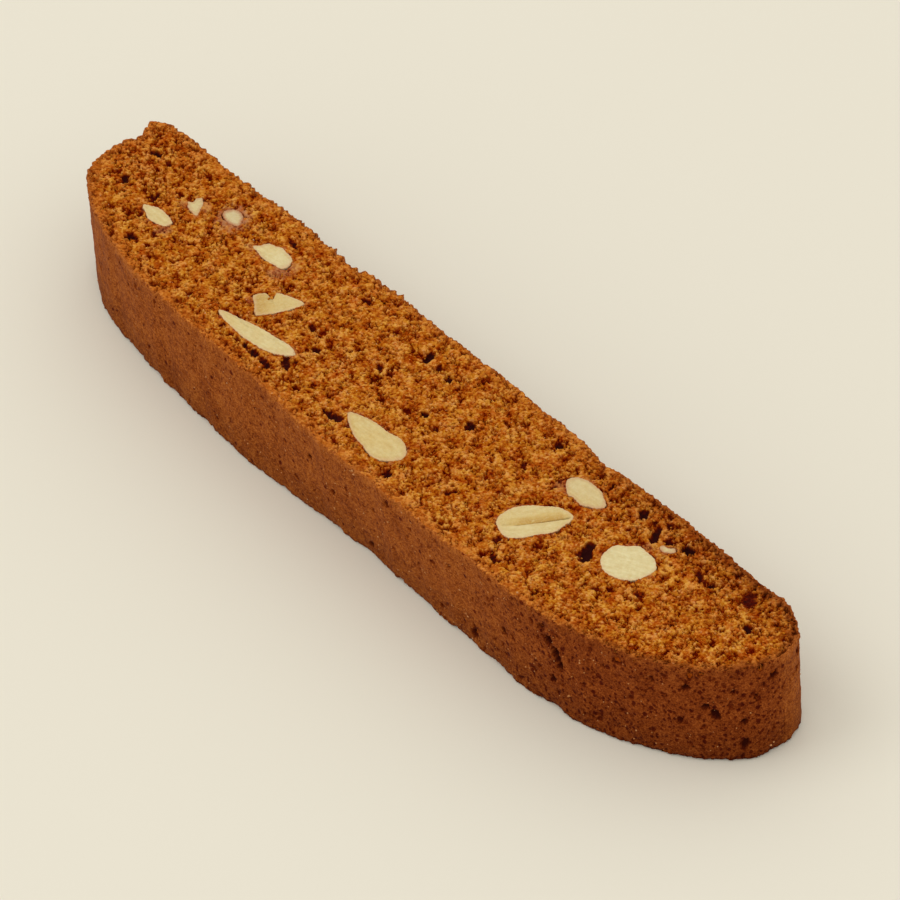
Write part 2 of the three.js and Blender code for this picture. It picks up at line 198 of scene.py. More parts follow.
# slow unevenness of each almond's outline: times round, and how much of each phase
TRIM = {
    "almond_01": [(3, 0.027, 0.029), (4, 0.037, 0.023), (5, -0.051, -0.015), (6, -0.005, 0.034)],
    "almond_04": [(3, 0.047, 0.081), (4, -0.027, 0.016), (5, -0.019, -0.014), (6, -0.070, 0.015), (7, 0.013, -0.058), (8, -0.004, 0.045)],
    "almond_06": [(2, 0.001, -0.032), (4, 0.007, 0.033), (5, -0.019, 0.037), (6, -0.025, 0.021), (8, -0.027, -0.006)],
    "almond_07": [(3, -0.014, 0.025), (4, -0.108, 0.040), (6, 0.067, -0.007), (7, 0.026, -0.006), (8, 0.005, 0.015)],
    "almond_08": [(5, 0.043, 0.036), (6, 0.061, -0.014), (7, -0.016, -0.015), (8, -0.024, 0.035)],
    "almond_09": [(2, 0.027, -0.030), (4, -0.094, 0.041), (5, -0.004, 0.081), (6, 0.021, -0.032), (7, 0.025, -0.004), (8, 0.013, -0.044)],
    "almond_10": [(2, 0.0, 0.022), (5, 0.045, 0.041), (6, -0.018, 0.037), (7, -0.040, -0.051), (8, 0.038, -0.018)],
}
# x, y, length, width and turn of the larger pores; the depth follows from the width,
# except that a broad one is a shallow hollow
UPPER_PORES = [(x, y, l, w, t, min(1.35, 0.05 + 0.72 * w) if w < 2 else 0.7) for x, y, l, w, t in (
    (38.9, -1.4, 1.5, 1.0, -40), (28.4, -7.9, 1.2, 0.9, 50), (39.55, -0.35, 4.4, 1.8, -66), (63.4, 10.4, 3.6, 2.6, -45),
    (67.4, 6.4, 2.1, 1.3, -20), (57.3, 8.3, 1.5, 1.3, 0), (54.9, 8.3, 2.9, 1.0, -36), (44.2, 9.2, 4.0, 1.3, -62),
    (39.7, 10.8, 1.9, 1.5, -37), (8.3, 4.2, 2.0, 1.5, -46), (6.9, -11.1, 1.8, 1.3, -51), (30.5, -10.9, 3.4, 1.0, -27),
    (-8.0, -9.3, 4.0, 1.3, 5), (-20.6, -7.4, 2.4, 1.2, -52), (-69.2, 7.6, 2.2, 1.3, 22), (-62.0, 1.4, 2.5, 1.1, -70),
    (-39.3, 10.0, 2.9, 1.0, -13), (49.7, 10.7, 2.3, 1.8, 9), (-6.8, 9.0, 2.9, 1.5, -75), (-1.2, 8.2, 1.7, 1.2, 32),
    (-10.2, 2.3, 2.4, 1.0, -39), (-68.4, 0.6, 2.0, 1.3, -38), (20.7, 11.1, 1.7, 1.2, -2), (-3.9, 8.7, 1.8, 1.0, -51),
    (16.4, -6.8, 2.1, 1.1, 53), (46.7, 9.5, 1.5, 1.1, -58), (-19.9, -2.1, 1.6, 1.2, 20), (-58.3, -6.9, 1.8, 1.4, 37),
    (-22.2, 10.0, 1.9, 1.0, 8), (-23.8, 0.5, 1.9, 1.0, -31), (1.8, 0.6, 1.5, 1.3, 4), (19.9, 4.5, 1.5, 0.9, -41),
    (51.1, -0.7, 2.0, 0.8, 7), (32.5, 11.1, 1.6, 0.9, -85), (5.1, 0.2, 1.6, 0.9, -51), (-66.1, 7.6, 2.0, 0.8, -10),
    (44.2, 12.0, 2.0, 0.8, -8), (46.1, -4.1, 1.5, 0.8, -15), (-50.5, -1.2, 1.6, 0.8, 34), (-56.2, -3.9, 1.5, 0.8, -60),
    (-63.9, -5.9, 1.5, 0.8, 58), (-34.1, -8.9, 1.4, 0.8, -60), (-31.6, -9.3, 1.2, 0.75, 20), (-30.1, -9.3, 1.4, 0.8, -20),
    (-28.1, -9.3, 1.8, 1.0, -10), (-26.3, -9.25, 2.1, 1.25, 5), (-24.0, -9.35, 2.0, 1.05, -15),
    (-22.8, -9.5, 1.4, 1.2, -60), (-21.6, -6.8, 1.9, 1.2, -60), (-20.2, -5.9, 1.3, 0.8, -40), (42.45, 10.9, 1.3, 0.8, -70),
    (43.4, 10.2, 1.2, 0.7, -50), (46.5, 9.9, 1.6, 0.9, -65), (34.9, 4.3, 1.2, 0.7, 50), (33.9, -5.7, 1.4, 0.7, 40),
    (45.8, -4.4, 1.5, 0.7, 30), (47.6, -3.0, 1.2, 0.7, 10), (50.9, -0.8, 1.2, 0.6, 30), (36.4, -9.3, 1.1, 0.6, 30),
    (28.3, -8.5, 1.6, 1.0, -20), (-35.9, -8.0, 1.6, 0.4, -30), (-33.6, -8.75, 1.5, 0.4, -12), (-31.8, -9.0, 1.4, 0.4, -3),
)]
LOWER_PORES = [
    (-63.0, 5.0, 3.4, 2.0, 30, 2.0), (-40.0, -4.5, 2.6, 1.5, -40, 1.6), (-4.5, 7.5, 3.0, 1.8, 15, 1.8),
    (21.0, -9.0, 2.4, 1.4, 60, 1.5), (39.0, 8.5, 2.8, 1.6, -20, 1.6), (64.0, -1.0, 3.0, 1.9, 50, 1.8),
    (-24.0, 1.0, 2.2, 1.0, -50, 1.3), (3.0, -8.5, 2.6, 1.1, 20, 1.3), (-58.0, -6.0, 2.0, 1.2, 10, 1.2),
    (45.0, -8.0, 2.2, 1.0, -35, 1.2), (20.5, 0.5, 1.8, 1.2, 70, 1.3), (-44.0, 10.0, 2.4, 1.1, -5, 1.2),
    (57.0, 9.0, 2.4, 1.2, -60, 1.3), (-8.0, 11.0, 2.0, 0.9, 0, 1.1), (68.0, 5.0, 1.8, 1.2, 30, 1.2),
]


def almond_loop(a, n):
    t = 2 * np.pi * np.arange(n) / n
    ct, st = np.cos(t), np.sin(t)
    e = a["pa"] + (a["pb"] - a["pa"]) * (1 + ct) / 2
    u = a["len"] / 2 * ct
    v = a["wid"] / 2 * np.sign(st) * np.abs(st) ** (1 + e) * (1 + a["egg"] * ct) + a["bow"] * a["wid"] * st * st
    c, s = math.cos(math.radians(a["turn"])), math.sin(math.radians(a["turn"]))
    return np.c_[a["x"] + u * c - v * s, a["y"] + u * s + v * c]


def chip_loop(corners, n):
    p = np.array(corners, float)
    for _ in range(2):
        q = np.roll(p, -1, 0)
        p = np.stack([p * 0.8 + q * 0.2, p * 0.2 + q * 0.8], 1).reshape(-1, 2)
    ring = np.vstack([p, p[:1]])
    s = np.r_[0, np.cumsum(np.hypot(*np.diff(ring, axis=0).T))]
    w = s[-1] * np.arange(n) / n
    return np.c_[np.interp(w, s, ring[:, 0]), np.interp(w, s, ring[:, 1])]


def even(loop, n):
    ring = np.vstack([loop, loop[:1]])
    s = np.r_[0, np.cumsum(np.hypot(*np.diff(ring, axis=0).T))]
    w = s[-1] * np.arange(n) / n
    return np.c_[np.interp(w, s, ring[:, 0]), np.interp(w, s, ring[:, 1])]


def normals(loop):
    e = np.roll(loop, -1, 0) - np.roll(loop, 1, 0)
    e /= np.maximum(np.hypot(*e.T), 1e-9)[:, None]
    return np.c_[e[:, 1], -e[:, 0]]


def section(name, n):
    if name in CHIPS:
        return chip_loop(CHIPS[name], n)
    loop = even(almond_loop(ALMONDS[name], 4 * n), n)
    t = 2 * np.pi * np.arange(n) / n
    return loop + normals(loop) * sum(c * np.cos(k * t) + s * np.sin(k * t) for k, c, s in TRIM.get(name, [(0, 0, 0)]))[:, None]


UPPER = sorted(k for k in [*ALMONDS, *CHIPS] if "_u" not in k)
LOWER = sorted(k for k in ALMONDS if "_u" in k)


# ------------------------------------------------------------------ helpers: noise, pits, meshes
def grain_noise(shape, step, wave, spread, seed):
    """Noise of one grain size (wave, mm) with unit deviation."""
    rng = np.random.default_rng(seed)
    w = np.fft.rfft2(rng.standard_normal(shape))
    f = np.hypot(np.fft.fftfreq(shape[0], step[0])[:, None], np.fft.rfftfreq(shape[1], step[1])[None])
    band = np.exp(-0.5 * (np.log(np.maximum(f, 1e-9) * wave) / spread) ** 2)
    n = np.fft.irfft2(w * band, s=shape)
    return n / n.std()


def carve(X, Y, org, step, items, pad, out=None, wrap=False):
    """Deepest hollow at each point. items: x, y, half length, half width, turn, depth, roundness."""
    D = np.zeros(X.shape) if out is None else out
    nx, ny = X.shape
    for x, y, a, b, turn, deep, power in items:
        R = max(a, b) + pad
        i0, i1 = int((x - R - org[0]) / step[0]), int((x + R - org[0]) / step[0]) + 2
        j0, j1 = max(0, int((y - R - org[1]) / step[1])), min(ny, int((y + R - org[1]) / step[1]) + 2)
        if not wrap:
            i0, i1 = max(0, i0), min(nx, i1)
        if i1 <= i0 or j1 <= j0:
            continue
        ii = np.arange(i0, i1)
        if wrap:
            xs = X[ii % nx, j0:j1] + ((ii // nx) * (nx * step[0]))[:, None]
            rows = ii % nx
        else:
            xs, rows = X[i0:i1, j0:j1], ii
        dx, dy = xs - x, Y[rows, j0:j1] - y
        c, s = math.cos(turn), math.sin(turn)
        q = ((dx * c + dy * s) / a) ** 2 + ((dy * c - dx * s) / b) ** 2
        d = deep * np.clip(1 - q, 0, 1) ** power
        D[rows, j0:j1] = np.maximum(D[rows, j0:j1], d)
    return D


def loop_distance(P, loop, nrm):
    """Distance of points P from a closed loop, positive inside, and the nearest loop index."""
    d = np.empty(len(P))
    k = np.empty(len(P), int)
    L = loop.astype(np.float32)
    for a in range(0, len(P), 8192):
        q = P[a:a + 8192].astype(np.float32)
        r = (q[:, None, 0] - L[None, :, 0]) ** 2 + (q[:, None, 1] - L[None, :, 1]) ** 2
        kk = r.argmin(1)
        k[a:a + 8192] = kk
        d[a:a + 8192] = np.sqrt(r[np.arange(len(q)), kk])
    off = P - loop[k]
    dot = -(off * nrm[k]).sum(1)
    return np.where(d < 0.8, dot, np.sign(dot) * d), k


def make_mesh(name, verts, faces, material, attrs=None, smooth_shade=True):
    """verts in mm; faces: list of arrays (n, 3 or 4) and index lists."""
    me = bpy.data.meshes.new(name)
    loops, starts, n = [], [], 0
    for f in faces:
        f = np.asarray(f)
        if f.ndim == 1:
            f = f[None]
        loops.append(f.ravel())
        starts.append(n + np.arange(len(f)) * f.shape[1])
        n += f.size
    loops, starts = np.concatenate(loops).astype(np.int32), np.concatenate(starts).astype(np.int32)
    me.vertices.add(len(verts))
    me.vertices.foreach_set("co", (np.asarray(verts, float) * MM).astype(np.float32).ravel())
    me.loops.add(len(loops))
    me.loops.foreach_set("vertex_index", loops)
    me.polygons.add(len(starts))
    me.polygons.foreach_set("loop_start", starts)
    me.update(calc_edges=True)
    me.validate()
    me.polygons.foreach_set("use_smooth", np.full(len(me.polygons), smooth_shade))
    for key, val in (attrs or {}).items():
        at = me.attributes.new(key, "FLOAT", "POINT")
        at.data.foreach_set("value", np.asarray(val, np.float32))
    me.materials.append(material)
    ob = bpy.data.objects.new(name, me)
    bpy.context.scene.collection.objects.link(ob)
    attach(ob, "root")
    return ob


# ------------------------------------------------------------------ materials
class Nodes:
    def __init__(self, name):
        self.mat = bpy.data.materials.new(name)
        self.mat.use_nodes = True
        self.t = self.mat.node_tree
        self.t.nodes.clear()
        self.out = self.t.nodes.new("ShaderNodeOutputMaterial")
        self.bsdf = self.t.nodes.new("ShaderNodeBsdfPrincipled")
        self.t.links.new(self.bsdf.outputs[0], self.out.inputs["Surface"])
        self.xyz = self.t.nodes.new("ShaderNodeTexCoord").outputs["Object"]

    def link(self, a, b):
        self.t.links.new(a, b)

    def attr(self, name):
        n = self.t.nodes.new("ShaderNodeAttribute")
        n.attribute_name = name
        return n.outputs["Fac"]

    def noise(self, wave_mm, detail=2.0, rough=0.5, stretch=None, vec=None):
        n = self.t.nodes.new("ShaderNodeTexNoise")
        n.inputs["Scale"].default_value = 1.0 / (wave_mm * MM)
        n.inputs["Detail"].default_value = detail
        n.inputs["Roughness"].default_value = rough
        v = vec or self.xyz
        if stretch:
            m = self.t.nodes.new("ShaderNodeMapping")
            m.inputs["Scale"].default_value = stretch
            self.link(v, m.inputs["Vector"])
            v = m.outputs[0]
        self.link(v, n.inputs["Vector"])
        return n.outputs["Fac"]

    def vec(self, op, a, b):
        n = self.t.nodes.new("ShaderNodeVectorMath")
        n.operation = op
        for i, v in enumerate((a, b)):
            if isinstance(v, tuple):
                n.inputs[i].default_value = v
            else:
                self.link(v, n.inputs[i])
        return n.outputs[0]

    def warped(self, wave_mm, amount_mm, stretch=(1, 1, 1)):
        """The surface's own place, shifted unevenly by up to about amount_mm."""
        n = self.t.nodes.new("ShaderNodeTexNoise")
        n.inputs["Scale"].default_value = 1.0 / (wave_mm * MM)
        n.inputs["Detail"].default_value = 1.0
        self.link(self.xyz, n.inputs["Vector"])
        off = self.vec("MULTIPLY", self.vec("SUBTRACT", n.outputs["Color"], (0.5, 0.5, 0.5)), (4 * amount_mm * MM,) * 3)
        return self.vec("MULTIPLY", self.vec("ADD", self.xyz, off), stretch)

    def cells(self, size_mm, vec):
        """Distance from the nearest of scattered points, in cells, and that point's own random value."""
        n = self.t.nodes.new("ShaderNodeTexVoronoi")
        n.inputs["Scale"].default_value = 1.0 / (size_mm * MM)
        self.link(vec, n.inputs["Vector"])
        sep = self.t.nodes.new("ShaderNodeSeparateColor")
        self.link(n.outputs["Color"], sep.inputs[0])
        return n.outputs["Distance"], sep.outputs[0]

    def spots(self, size_mm, vec, share, reach, soft, more=None):
        """Scattered spots: share of the cells that have one, largest radius in cells, softness of the edge."""
        dist, own = self.cells(size_mm, vec)
        if more is not None:
            own = self.math("ADD", own, more)
        radius = self.remap(own, 1 - share, 1.0, 0.0, reach)
        return self.math("DIVIDE", self.math("SUBTRACT", radius, dist), soft, True)

    def ramp(self, fac, stops, mode="LINEAR"):
        n = self.t.nodes.new("ShaderNodeValToRGB")
        r = n.color_ramp
        r.interpolation = mode
        while len(r.elements) > 1:
            r.elements.remove(r.elements[-1])
        r.elements[0].position, r.elements[0].color = stops[0][0], (*stops[0][1], 1)
        for p, c in stops[1:]:
            e = r.elements.new(p)
            e.color = (*c, 1)
        self.link(fac, n.inputs[0])
        return n.outputs[0]

    def math(self, op, a, b=0.0, clamp=False):
        n = self.t.nodes.new("ShaderNodeMath")
        n.operation = op
        n.use_clamp = clamp
        for i, v in enumerate((a, b)):
            if isinstance(v, (int, float)):
                n.inputs[i].default_value = v
            else:
                self.link(v, n.inputs[i])
        return n.outputs[0]

    def remap(self, v, a, b, c=0.0, d=1.0):
        n = self.t.nodes.new("ShaderNodeMapRange")
        for i, x in enumerate((a, b, c, d)):
            n.inputs[i + 1].default_value = x
        self.link(v, n.inputs[0])
        return n.outputs[0]

    def mix(self, fac, a, b, mode="MIX"):
        n = self.t.nodes.new("ShaderNodeMix")
        n.data_type = "RGBA"
        n.blend_type = mode
        for sock, v in ((n.inputs[0], fac), (n.inputs[6], a), (n.inputs[7], b)):
            if isinstance(v, (int, float)):
                sock.default_value = v
            elif isinstance(v, tuple):
                sock.default_value = (*v, 1)
            else:
                self.link(v, sock)
        return n.outputs[2]

    def bump(self, height, strength, dist_mm, under=None):
        n = self.t.nodes.new("ShaderNodeBump")
        n.inputs["Strength"].default_value = strength
        n.inputs["Distance"].default_value = dist_mm * MM
        self.link(height, n.inputs["Height"])
        if under is not None:
            self.link(under, n.inputs["Normal"])
        return n.outputs[0]


def crumb_material():
    m = Nodes("crumb")
    painted_light_tone, tone, rim, pale, burnt, pore_shade, rose = (m.attr(k) for k in ("painted_light_tone", "tone", "rim", "pale", "burnt", "pore_shade", "rose"))
    fine = m.noise(0.42, 2.0, 0.6)
    tiny = m.noise(0.20, 1.0, 0.5)
    # the colour level carries painted shade in hollows and painted highlights on grains, besides the crumb's own tone
    lvl = m.math("ADD", painted_light_tone, m.remap(fine, 0.3, 0.7, -0.17, 0.17))
    lvl = m.math("ADD", lvl, m.remap(tiny, 0.3, 0.7, -0.10, 0.10))
    gold = m.ramp(lvl, [(0.0, (0.095, 0.0041, 0.0002)), (0.20, (0.203, 0.0162, 0.0004)), (0.42, (0.329, 0.0654, 0.0016)),
                        (0.62, (0.448, 0.1453, 0.0076)), (0.82, (0.544, 0.2096, 0.0192)), (1.0, (0.662, 0.3139, 0.0540))])
    red = m.ramp(lvl, [(0.0, (0.085, 0.0032, 0.0001)), (0.20, (0.176, 0.0099, 0.0003)), (0.42, (0.293, 0.0385, 0.0013)),
                       (0.62, (0.394, 0.0785, 0.0050)), (0.82, (0.489, 0.1317, 0.0145)), (1.0, (0.622, 0.2355, 0.0433))])
    col = m.mix(tone, red, gold)
    rosy = m.ramp(lvl, [(0.0, (0.090, 0.0070, 0.0010)), (0.42, (0.300, 0.062, 0.0085)), (0.62, (0.420, 0.118, 0.0220)), (1.0, (0.650, 0.295, 0.0950))])
    col = m.mix(m.math("MULTIPLY", rose, 0.75), col, rosy)
    lip = m.ramp(lvl, [(0.0, (0.095, 0.0095, 0.0006)), (0.30, (0.290, 0.056, 0.0045)), (0.60, (0.425, 0.106, 0.0110)), (1.0, (0.580, 0.190, 0.0310))])
    col = m.mix(m.math("MULTIPLY", rim, 0.85), col, lip)
    done = m.ramp(lvl, [(0.0, (0.035, 0.003, 0.0003)), (0.35, (0.115, 0.019, 0.0024)), (0.60, (0.180, 0.035, 0.0050)), (1.0, (0.320, 0.085, 0.0150))])
    col = m.mix(burnt, col, done)
    col = m.mix(m.math("MULTIPLY", pale, m.remap(lvl, 0.25, 0.65, 0.35, 1.0)), col, (0.405, 0.175, 0.082))
    # tiny pale grains, partly almond and sugar, partly painted glints on the lighter crumb
    glints_and_grains = m.spots(0.55, m.warped(0.2, 0.06), 0.10, 0.30, 0.08, m.remap(fine, 0.3, 0.7, -0.08, 0.06))
    col = m.mix(m.math("MULTIPLY", glints_and_grains, m.remap(lvl, 0.38, 0.68, 0.0, 0.60)), col, (0.670, 0.335, 0.150))
    # painted shade inside the pores
    col = m.mix(pore_shade, col, (0.0300, 0.0055, 0.0050))
    m.link(col, m.bsdf.inputs["Base Color"])
    m.bsdf.inputs["Roughness"].default_value = 0.6
    m.bsdf.inputs["Specular IOR Level"].default_value = 0.0
    b = m.bump(fine, 0.8, 0.14)
    b = m.bump(tiny, 0.6, 0.08, b)
    m.link(b, m.bsdf.inputs["Normal"])
    return m.mat


def crust_material():
    m = Nodes("crust")
    pit_shade, tone, rim, brown, floor_shade = (m.attr(k) for k in ("pit_shade", "tone", "rim", "brown", "floor_shade"))
    fine = m.noise(0.42, 2.0, 0.65)
    tiny = m.noise(0.19, 1.0, 0.5)
    blot = m.noise(1.3, 2.0, 0.6)
    lvl = m.math("ADD", m.remap(fine, 0.3, 0.7, 0.10, 0.90), m.remap(tiny, 0.3, 0.7, -0.36, 0.36))
    lvl = m.math("ADD", lvl, m.remap(blot, 0.3, 0.7, -0.13, 0.13))
    lvl = m.math("ADD", lvl, m.remap(tone, 0, 1, -0.25, 0.25))
    light = m.ramp(lvl, [(0.0, (0.1276, 0.0218, 0.0022)), (0.30, (0.2221, 0.0483, 0.0064)), (0.50, (0.2684, 0.0638, 0.0089)),
                         (0.70, (0.3119, 0.0802, 0.0117)), (1.0, (0.4064, 0.1231, 0.0211))])
    deep = m.ramp(lvl, [(0.0, (0.0900, 0.0129, 0.0013)), (0.30, (0.1548, 0.0271, 0.0034)), (0.50, (0.1908, 0.0370, 0.0049)),
                        (0.70, (0.2250, 0.0473, 0.0065)), (1.0, (0.3015, 0.0748, 0.0118))])
    # browner towards the right end and on the base crust: baked darker, and on the right end partly painted shade where
    # it faces away from the key light
    col = m.mix(brown, light, deep)
    lip = m.ramp(lvl, [(0.1, (0.240, 0.055, 0.0080)), (0.5, (0.345, 0.092, 0.0145)), (0.9, (0.450, 0.140, 0.0260))])
    col = m.mix(m.math("MULTIPLY", rim, m.remap(brown, 0, 1, 1.0, 0.12)), col, lip)
    # darker towards the bottom of the wall: painted shade near the floor
    col = m.mix(m.math("MULTIPLY", floor_shade, 1.0), col, (0.76, 0.74, 0.72), "MULTIPLY")
    # small pores, upright and uneven, darkened as painted shade, and light flecks
    skew = m.warped(0.30, 0.09, (1, 1, 0.78))
    more = m.remap(brown, 0, 1, -0.08, 0.30)
    p1 = m.math("MULTIPLY", m.spots(0.72, skew, 0.58, 0.42, 0.11, more), m.remap(brown, 0, 1, 0.58, 0.80))
    p2 = m.math("MULTIPLY", m.spots(1.30, skew, 0.42, 0.32, 0.08, m.remap(brown, 0, 1, 0.0, 0.22)), 0.95)
    spot = m.math("MAXIMUM", p1, p2)
    fleck = m.spots(0.80, m.warped(0.25, 0.08), 0.34, 0.21, 0.06, m.remap(blot, 0.3, 0.7, -0.30, 0.12))
    col = m.mix(m.math("MULTIPLY", fleck, 0.80), col, (0.520, 0.225, 0.080))
    # pits and small pores darkened: painted shade in the hollows
    dark = m.ramp(m.math("MAXIMUM", pit_shade, spot), [(0.0, (1, 1, 1)), (0.40, (0.60, 0.41, 0.30)), (1.0, (0.34, 0.14, 0.07))])
    col = m.mix(1.0, col, dark, "MULTIPLY")
    # near-black in the larger pits: painted shade
    col = m.mix(m.attr("hole_shade"), col, (0.0380, 0.0046, 0.0016))
    m.link(col, m.bsdf.inputs["Base Color"])
    m.bsdf.inputs["Roughness"].default_value = 0.6
    m.bsdf.inputs["Specular IOR Level"].default_value = 0.02
    b = m.bump(m.math("SUBTRACT", fine, m.math("MULTIPLY", spot, 0.6)), 0.5, 0.12)
    b = m.bump(tiny, 0.5, 0.06, b)
    m.link(b, m.bsdf.inputs["Normal"])
    return m.mat


def almond_material():
    m = Nodes("almond")
    edge, split_shade, gold, pink, dull = (m.attr(k) for k in ("edge", "split_shade", "gold", "pink", "dull"))
    place = m.t.nodes.new("ShaderNodeCombineXYZ")           # along and across the almond, in metres
    m.link(m.attr("along"), place.inputs[0])
    m.link(m.attr("across"), place.inputs[1])
    fibre = m.noise(0.55, 3.0, 0.6, stretch=(0.22, 1, 1), vec=place.outputs[0])
    blot = m.noise(2.4, 2.0, 0.5)
    fleck = m.noise(0.7, 3.0, 0.6)
    streak = m.noise(0.28, 2.0, 0.6)
    even_ = m.math("ADD", m.math("MULTIPLY", m.remap(fleck, 0.35, 0.65, 0.0, 1.0), 0.45), m.math("MULTIPLY", m.remap(fibre, 0.35, 0.65, 0.0, 1.0), 0.55))
    cream = m.mix(even_, (0.595, 0.475, 0.225), (0.715, 0.622, 0.346))
    deep = m.mix(even_, (0.550, 0.365, 0.112), (0.668, 0.500, 0.192))
    tan = m.mix(even_, (0.455, 0.250, 0.052), (0.550, 0.345, 0.090))
    col = m.mix(m.math("MULTIPLY", gold, m.remap(blot, 0.35, 0.65, 0.75, 1.1), True), cream, deep)
    col = m.mix(m.math("SUBTRACT", gold, 1.0, True), col, tan)
    col = m.mix(m.math("MULTIPLY", dull, m.remap(fibre, 0.3, 0.7, 0.7, 1.2), True), col, (0.470, 0.325, 0.165))
    col = m.mix(m.remap(streak, 0.45, 0.75, 0.0, 0.22), col, (0.730, 0.630, 0.390))
    # thin skin: pale rosy rim, then a brown line that comes and goes
    rimd = m.math("ADD", edge, m.remap(fleck, 0.3, 0.7, -0.12, 0.12))
    col = m.mix(m.remap(rimd, 0.06, 0.45, 0.50, 0.0), col, (0.705, 0.485, 0.270))
    col = m.mix(m.math("MULTIPLY", pink, m.remap(rimd, 0.0, 0.70, 1.0, 0.0)), col, (0.40, 0.150, 0.065))
    there = m.remap(m.noise(1.7, 2.0, 0.55), 0.42, 0.62, 0.05, 0.85)
    col = m.mix(m.math("MULTIPLY", m.remap(rimd, -0.03, 0.08, 1.0, 0.0), there), col, (0.300, 0.078, 0.014))
    col = m.mix(m.math("MULTIPLY", split_shade, m.remap(fibre, 0.3, 0.7, 0.75, 1.0)), col, (0.250, 0.150, 0.036))
    m.link(col, m.bsdf.inputs["Base Color"])
    m.bsdf.inputs["Roughness"].default_value = 0.5
    m.bsdf.inputs["Specular IOR Level"].default_value = 0.10
    m.bsdf.inputs["Subsurface Weight"].default_value = 0.10
    m.bsdf.inputs["Subsurface Radius"].default_value = (0.9, 0.6, 0.35)
    m.bsdf.inputs["Subsurface Scale"].default_value = 0.001
    b = m.bump(fibre, 0.35, 0.08)
    b = m.bump(streak, 0.25, 0.05, b)
    m.link(b, m.bsdf.inputs["Normal"])
    return m.mat


# pale grains on crumb and crust, partly sugar and crumb, partly painted glints
def speck_material():
    m = Nodes("speck")
    tone, fine = m.attr("tone"), m.noise(0.2, 1.0, 0.5)
    col = m.ramp(m.math("ADD", m.math("MULTIPLY", tone, 0.7), m.math("MULTIPLY", fine, 0.3)),
                 [(0.05, (0.34, 0.105, 0.018)), (0.35, (0.47, 0.185, 0.048)), (0.60, (0.58, 0.280, 0.110)), (0.90, (0.72, 0.440, 0.250))])
    m.link(col, m.bsdf.inputs["Base Color"])
    m.bsdf.inputs["Roughness"].default_value = 0.35
    m.bsdf.inputs["Specular IOR Level"].default_value = 0.15
    m.link(m.bump(fine, 0.3, 0.05), m.bsdf.inputs["Normal"])
    return m.mat


CRUMB, CRUST, NUT, SPECK = crumb_material(), crust_material(), almond_material(), speck_material()

# ------------------------------------------------------------------ crumb of a cut face
CHIP_11 = [(46.4, 8.0), (46.9, 7.5), (47.75, 7.55), (48.6, 8.15), (49.05, 8.9), (48.35, 9.4), (47.9, 8.85), (47.3, 8.55), (46.6, 8.55)]
LOOP_STEPS = 1640


def almond_edges(names):
    """Outlines and outward normals of the cut almonds."""
    out = []
    for a in names:
        lp = section(a, 160) if isinstance(a, str) else chip_loop(a, 80)
        ln = normals(lp)
        area = 0.5 * np.sum(lp[:, 0] * np.roll(lp[:, 1], -1) - np.roll(lp[:, 0], -1) * lp[:, 1])
        out.append((lp, ln if area > 0 else -ln))
    return out


def pile(X, Y, org, step, items, H, T, G):
    """Heap of small grains. items: x, y, half length, half width, turn, foot, rise, tone, light (a random lift of the
    grain's colour, a painted highlight). Keeps the highest.
    """
    nx, ny = X.shape
    for x, y, a, b, turn, z, rise, tone, light in items:
        R = a + 0.2
        i0, i1 = max(0, int((x - R - org[0]) / step)), min(nx, int((x + R - org[0]) / step) + 2)
        j0, j1 = max(0, int((y - R - org[1]) / step)), min(ny, int((y + R - org[1]) / step) + 2)
        if i1 <= i0 or j1 <= j0:
            continue
        dx, dy = X[i0:i1, j0:j1] - x, Y[i0:i1, j0:j1] - y
        c, s = math.cos(turn), math.sin(turn)
        q = ((dx * c + dy * s) / a) ** 2 + ((dy * c - dx * s) / b) ** 2
        h = z + rise * np.sqrt(np.maximum(1 - q, 0)) - 9.0 * (q >= 1)
        w = H[i0:i1, j0:j1]
        m = h > w
        w[m] = h[m]
        T[i0:i1, j0:j1][m] = tone
        G[i0:i1, j0:j1][m] = light


def edge_ring(quads):
    """The one closed line of edges round a patch of quads."""
    e = np.concatenate([quads[:, [0, 1]], quads[:, [1, 2]], quads[:, [2, 3]], quads[:, [3, 0]]])
    n = np.int64(quads.max() + 1)
    edge = e[~np.isin(e[:, 0] * n + e[:, 1], e[:, 1] * n + e[:, 0])]
    nxt = dict(edge.tolist())
    ring = [int(edge[0, 0])]
    while nxt[ring[-1]] != ring[0]:
        ring.append(nxt[ring[-1]])
    assert len(ring) == len(edge), "the crumb has one boundary"
    return np.array(ring)


# s, how far out, how wide: lumps and notches of the bottom edge
FOOT_LUMPS = [
    (185.7, 0.42, 1.1), (191.4, -0.30, 1.4), (196.2, -0.30, 1.2), (199.1, 0.38, 1.3), (210.0, -0.25, 1.2), (228.0, 0.15, 2.5),
    (239.6, -0.35, 1.2), (243.0, 0.22, 1.8), (250.5, 0.22, 1.6), (254.6, -0.45, 0.7), (265.0, 0.22, 2.2), (268.0, -0.38, 1.1),
    (273.6, 0.28, 1.5), (276.9, -0.38, 1.7), (284.2, 0.28, 1.0), (289.7, -0.33, 1.2), (292.8, 0.28, 1.2), (296.0, -0.15, 1.2),
    (300.6, 0.28, 2.0), (304.7, -0.33, 0.8), (311.0, -0.15, 1.2),
]


def foot_lumps(arc):
    """How far out the bottom edge comes along its length."""
    out = sum(a * bell((arc - c + PERIMETER / 2) % PERIMETER, PERIMETER / 2, w) for c, a, w in FOOT_LUMPS)
    other = np.clip(smooth(172, 165, arc) + smooth(318, 325, arc), 0, 1)      # the sides where none is listed
    t = 2 * np.pi * arc / PERIMETER
    return out + other * (0.11 * np.sin(47 * t + 1) + 0.09 * np.sin(71 * t + 2.5) + 0.07 * np.sin(98 * t) * np.sin(13 * t + 1))


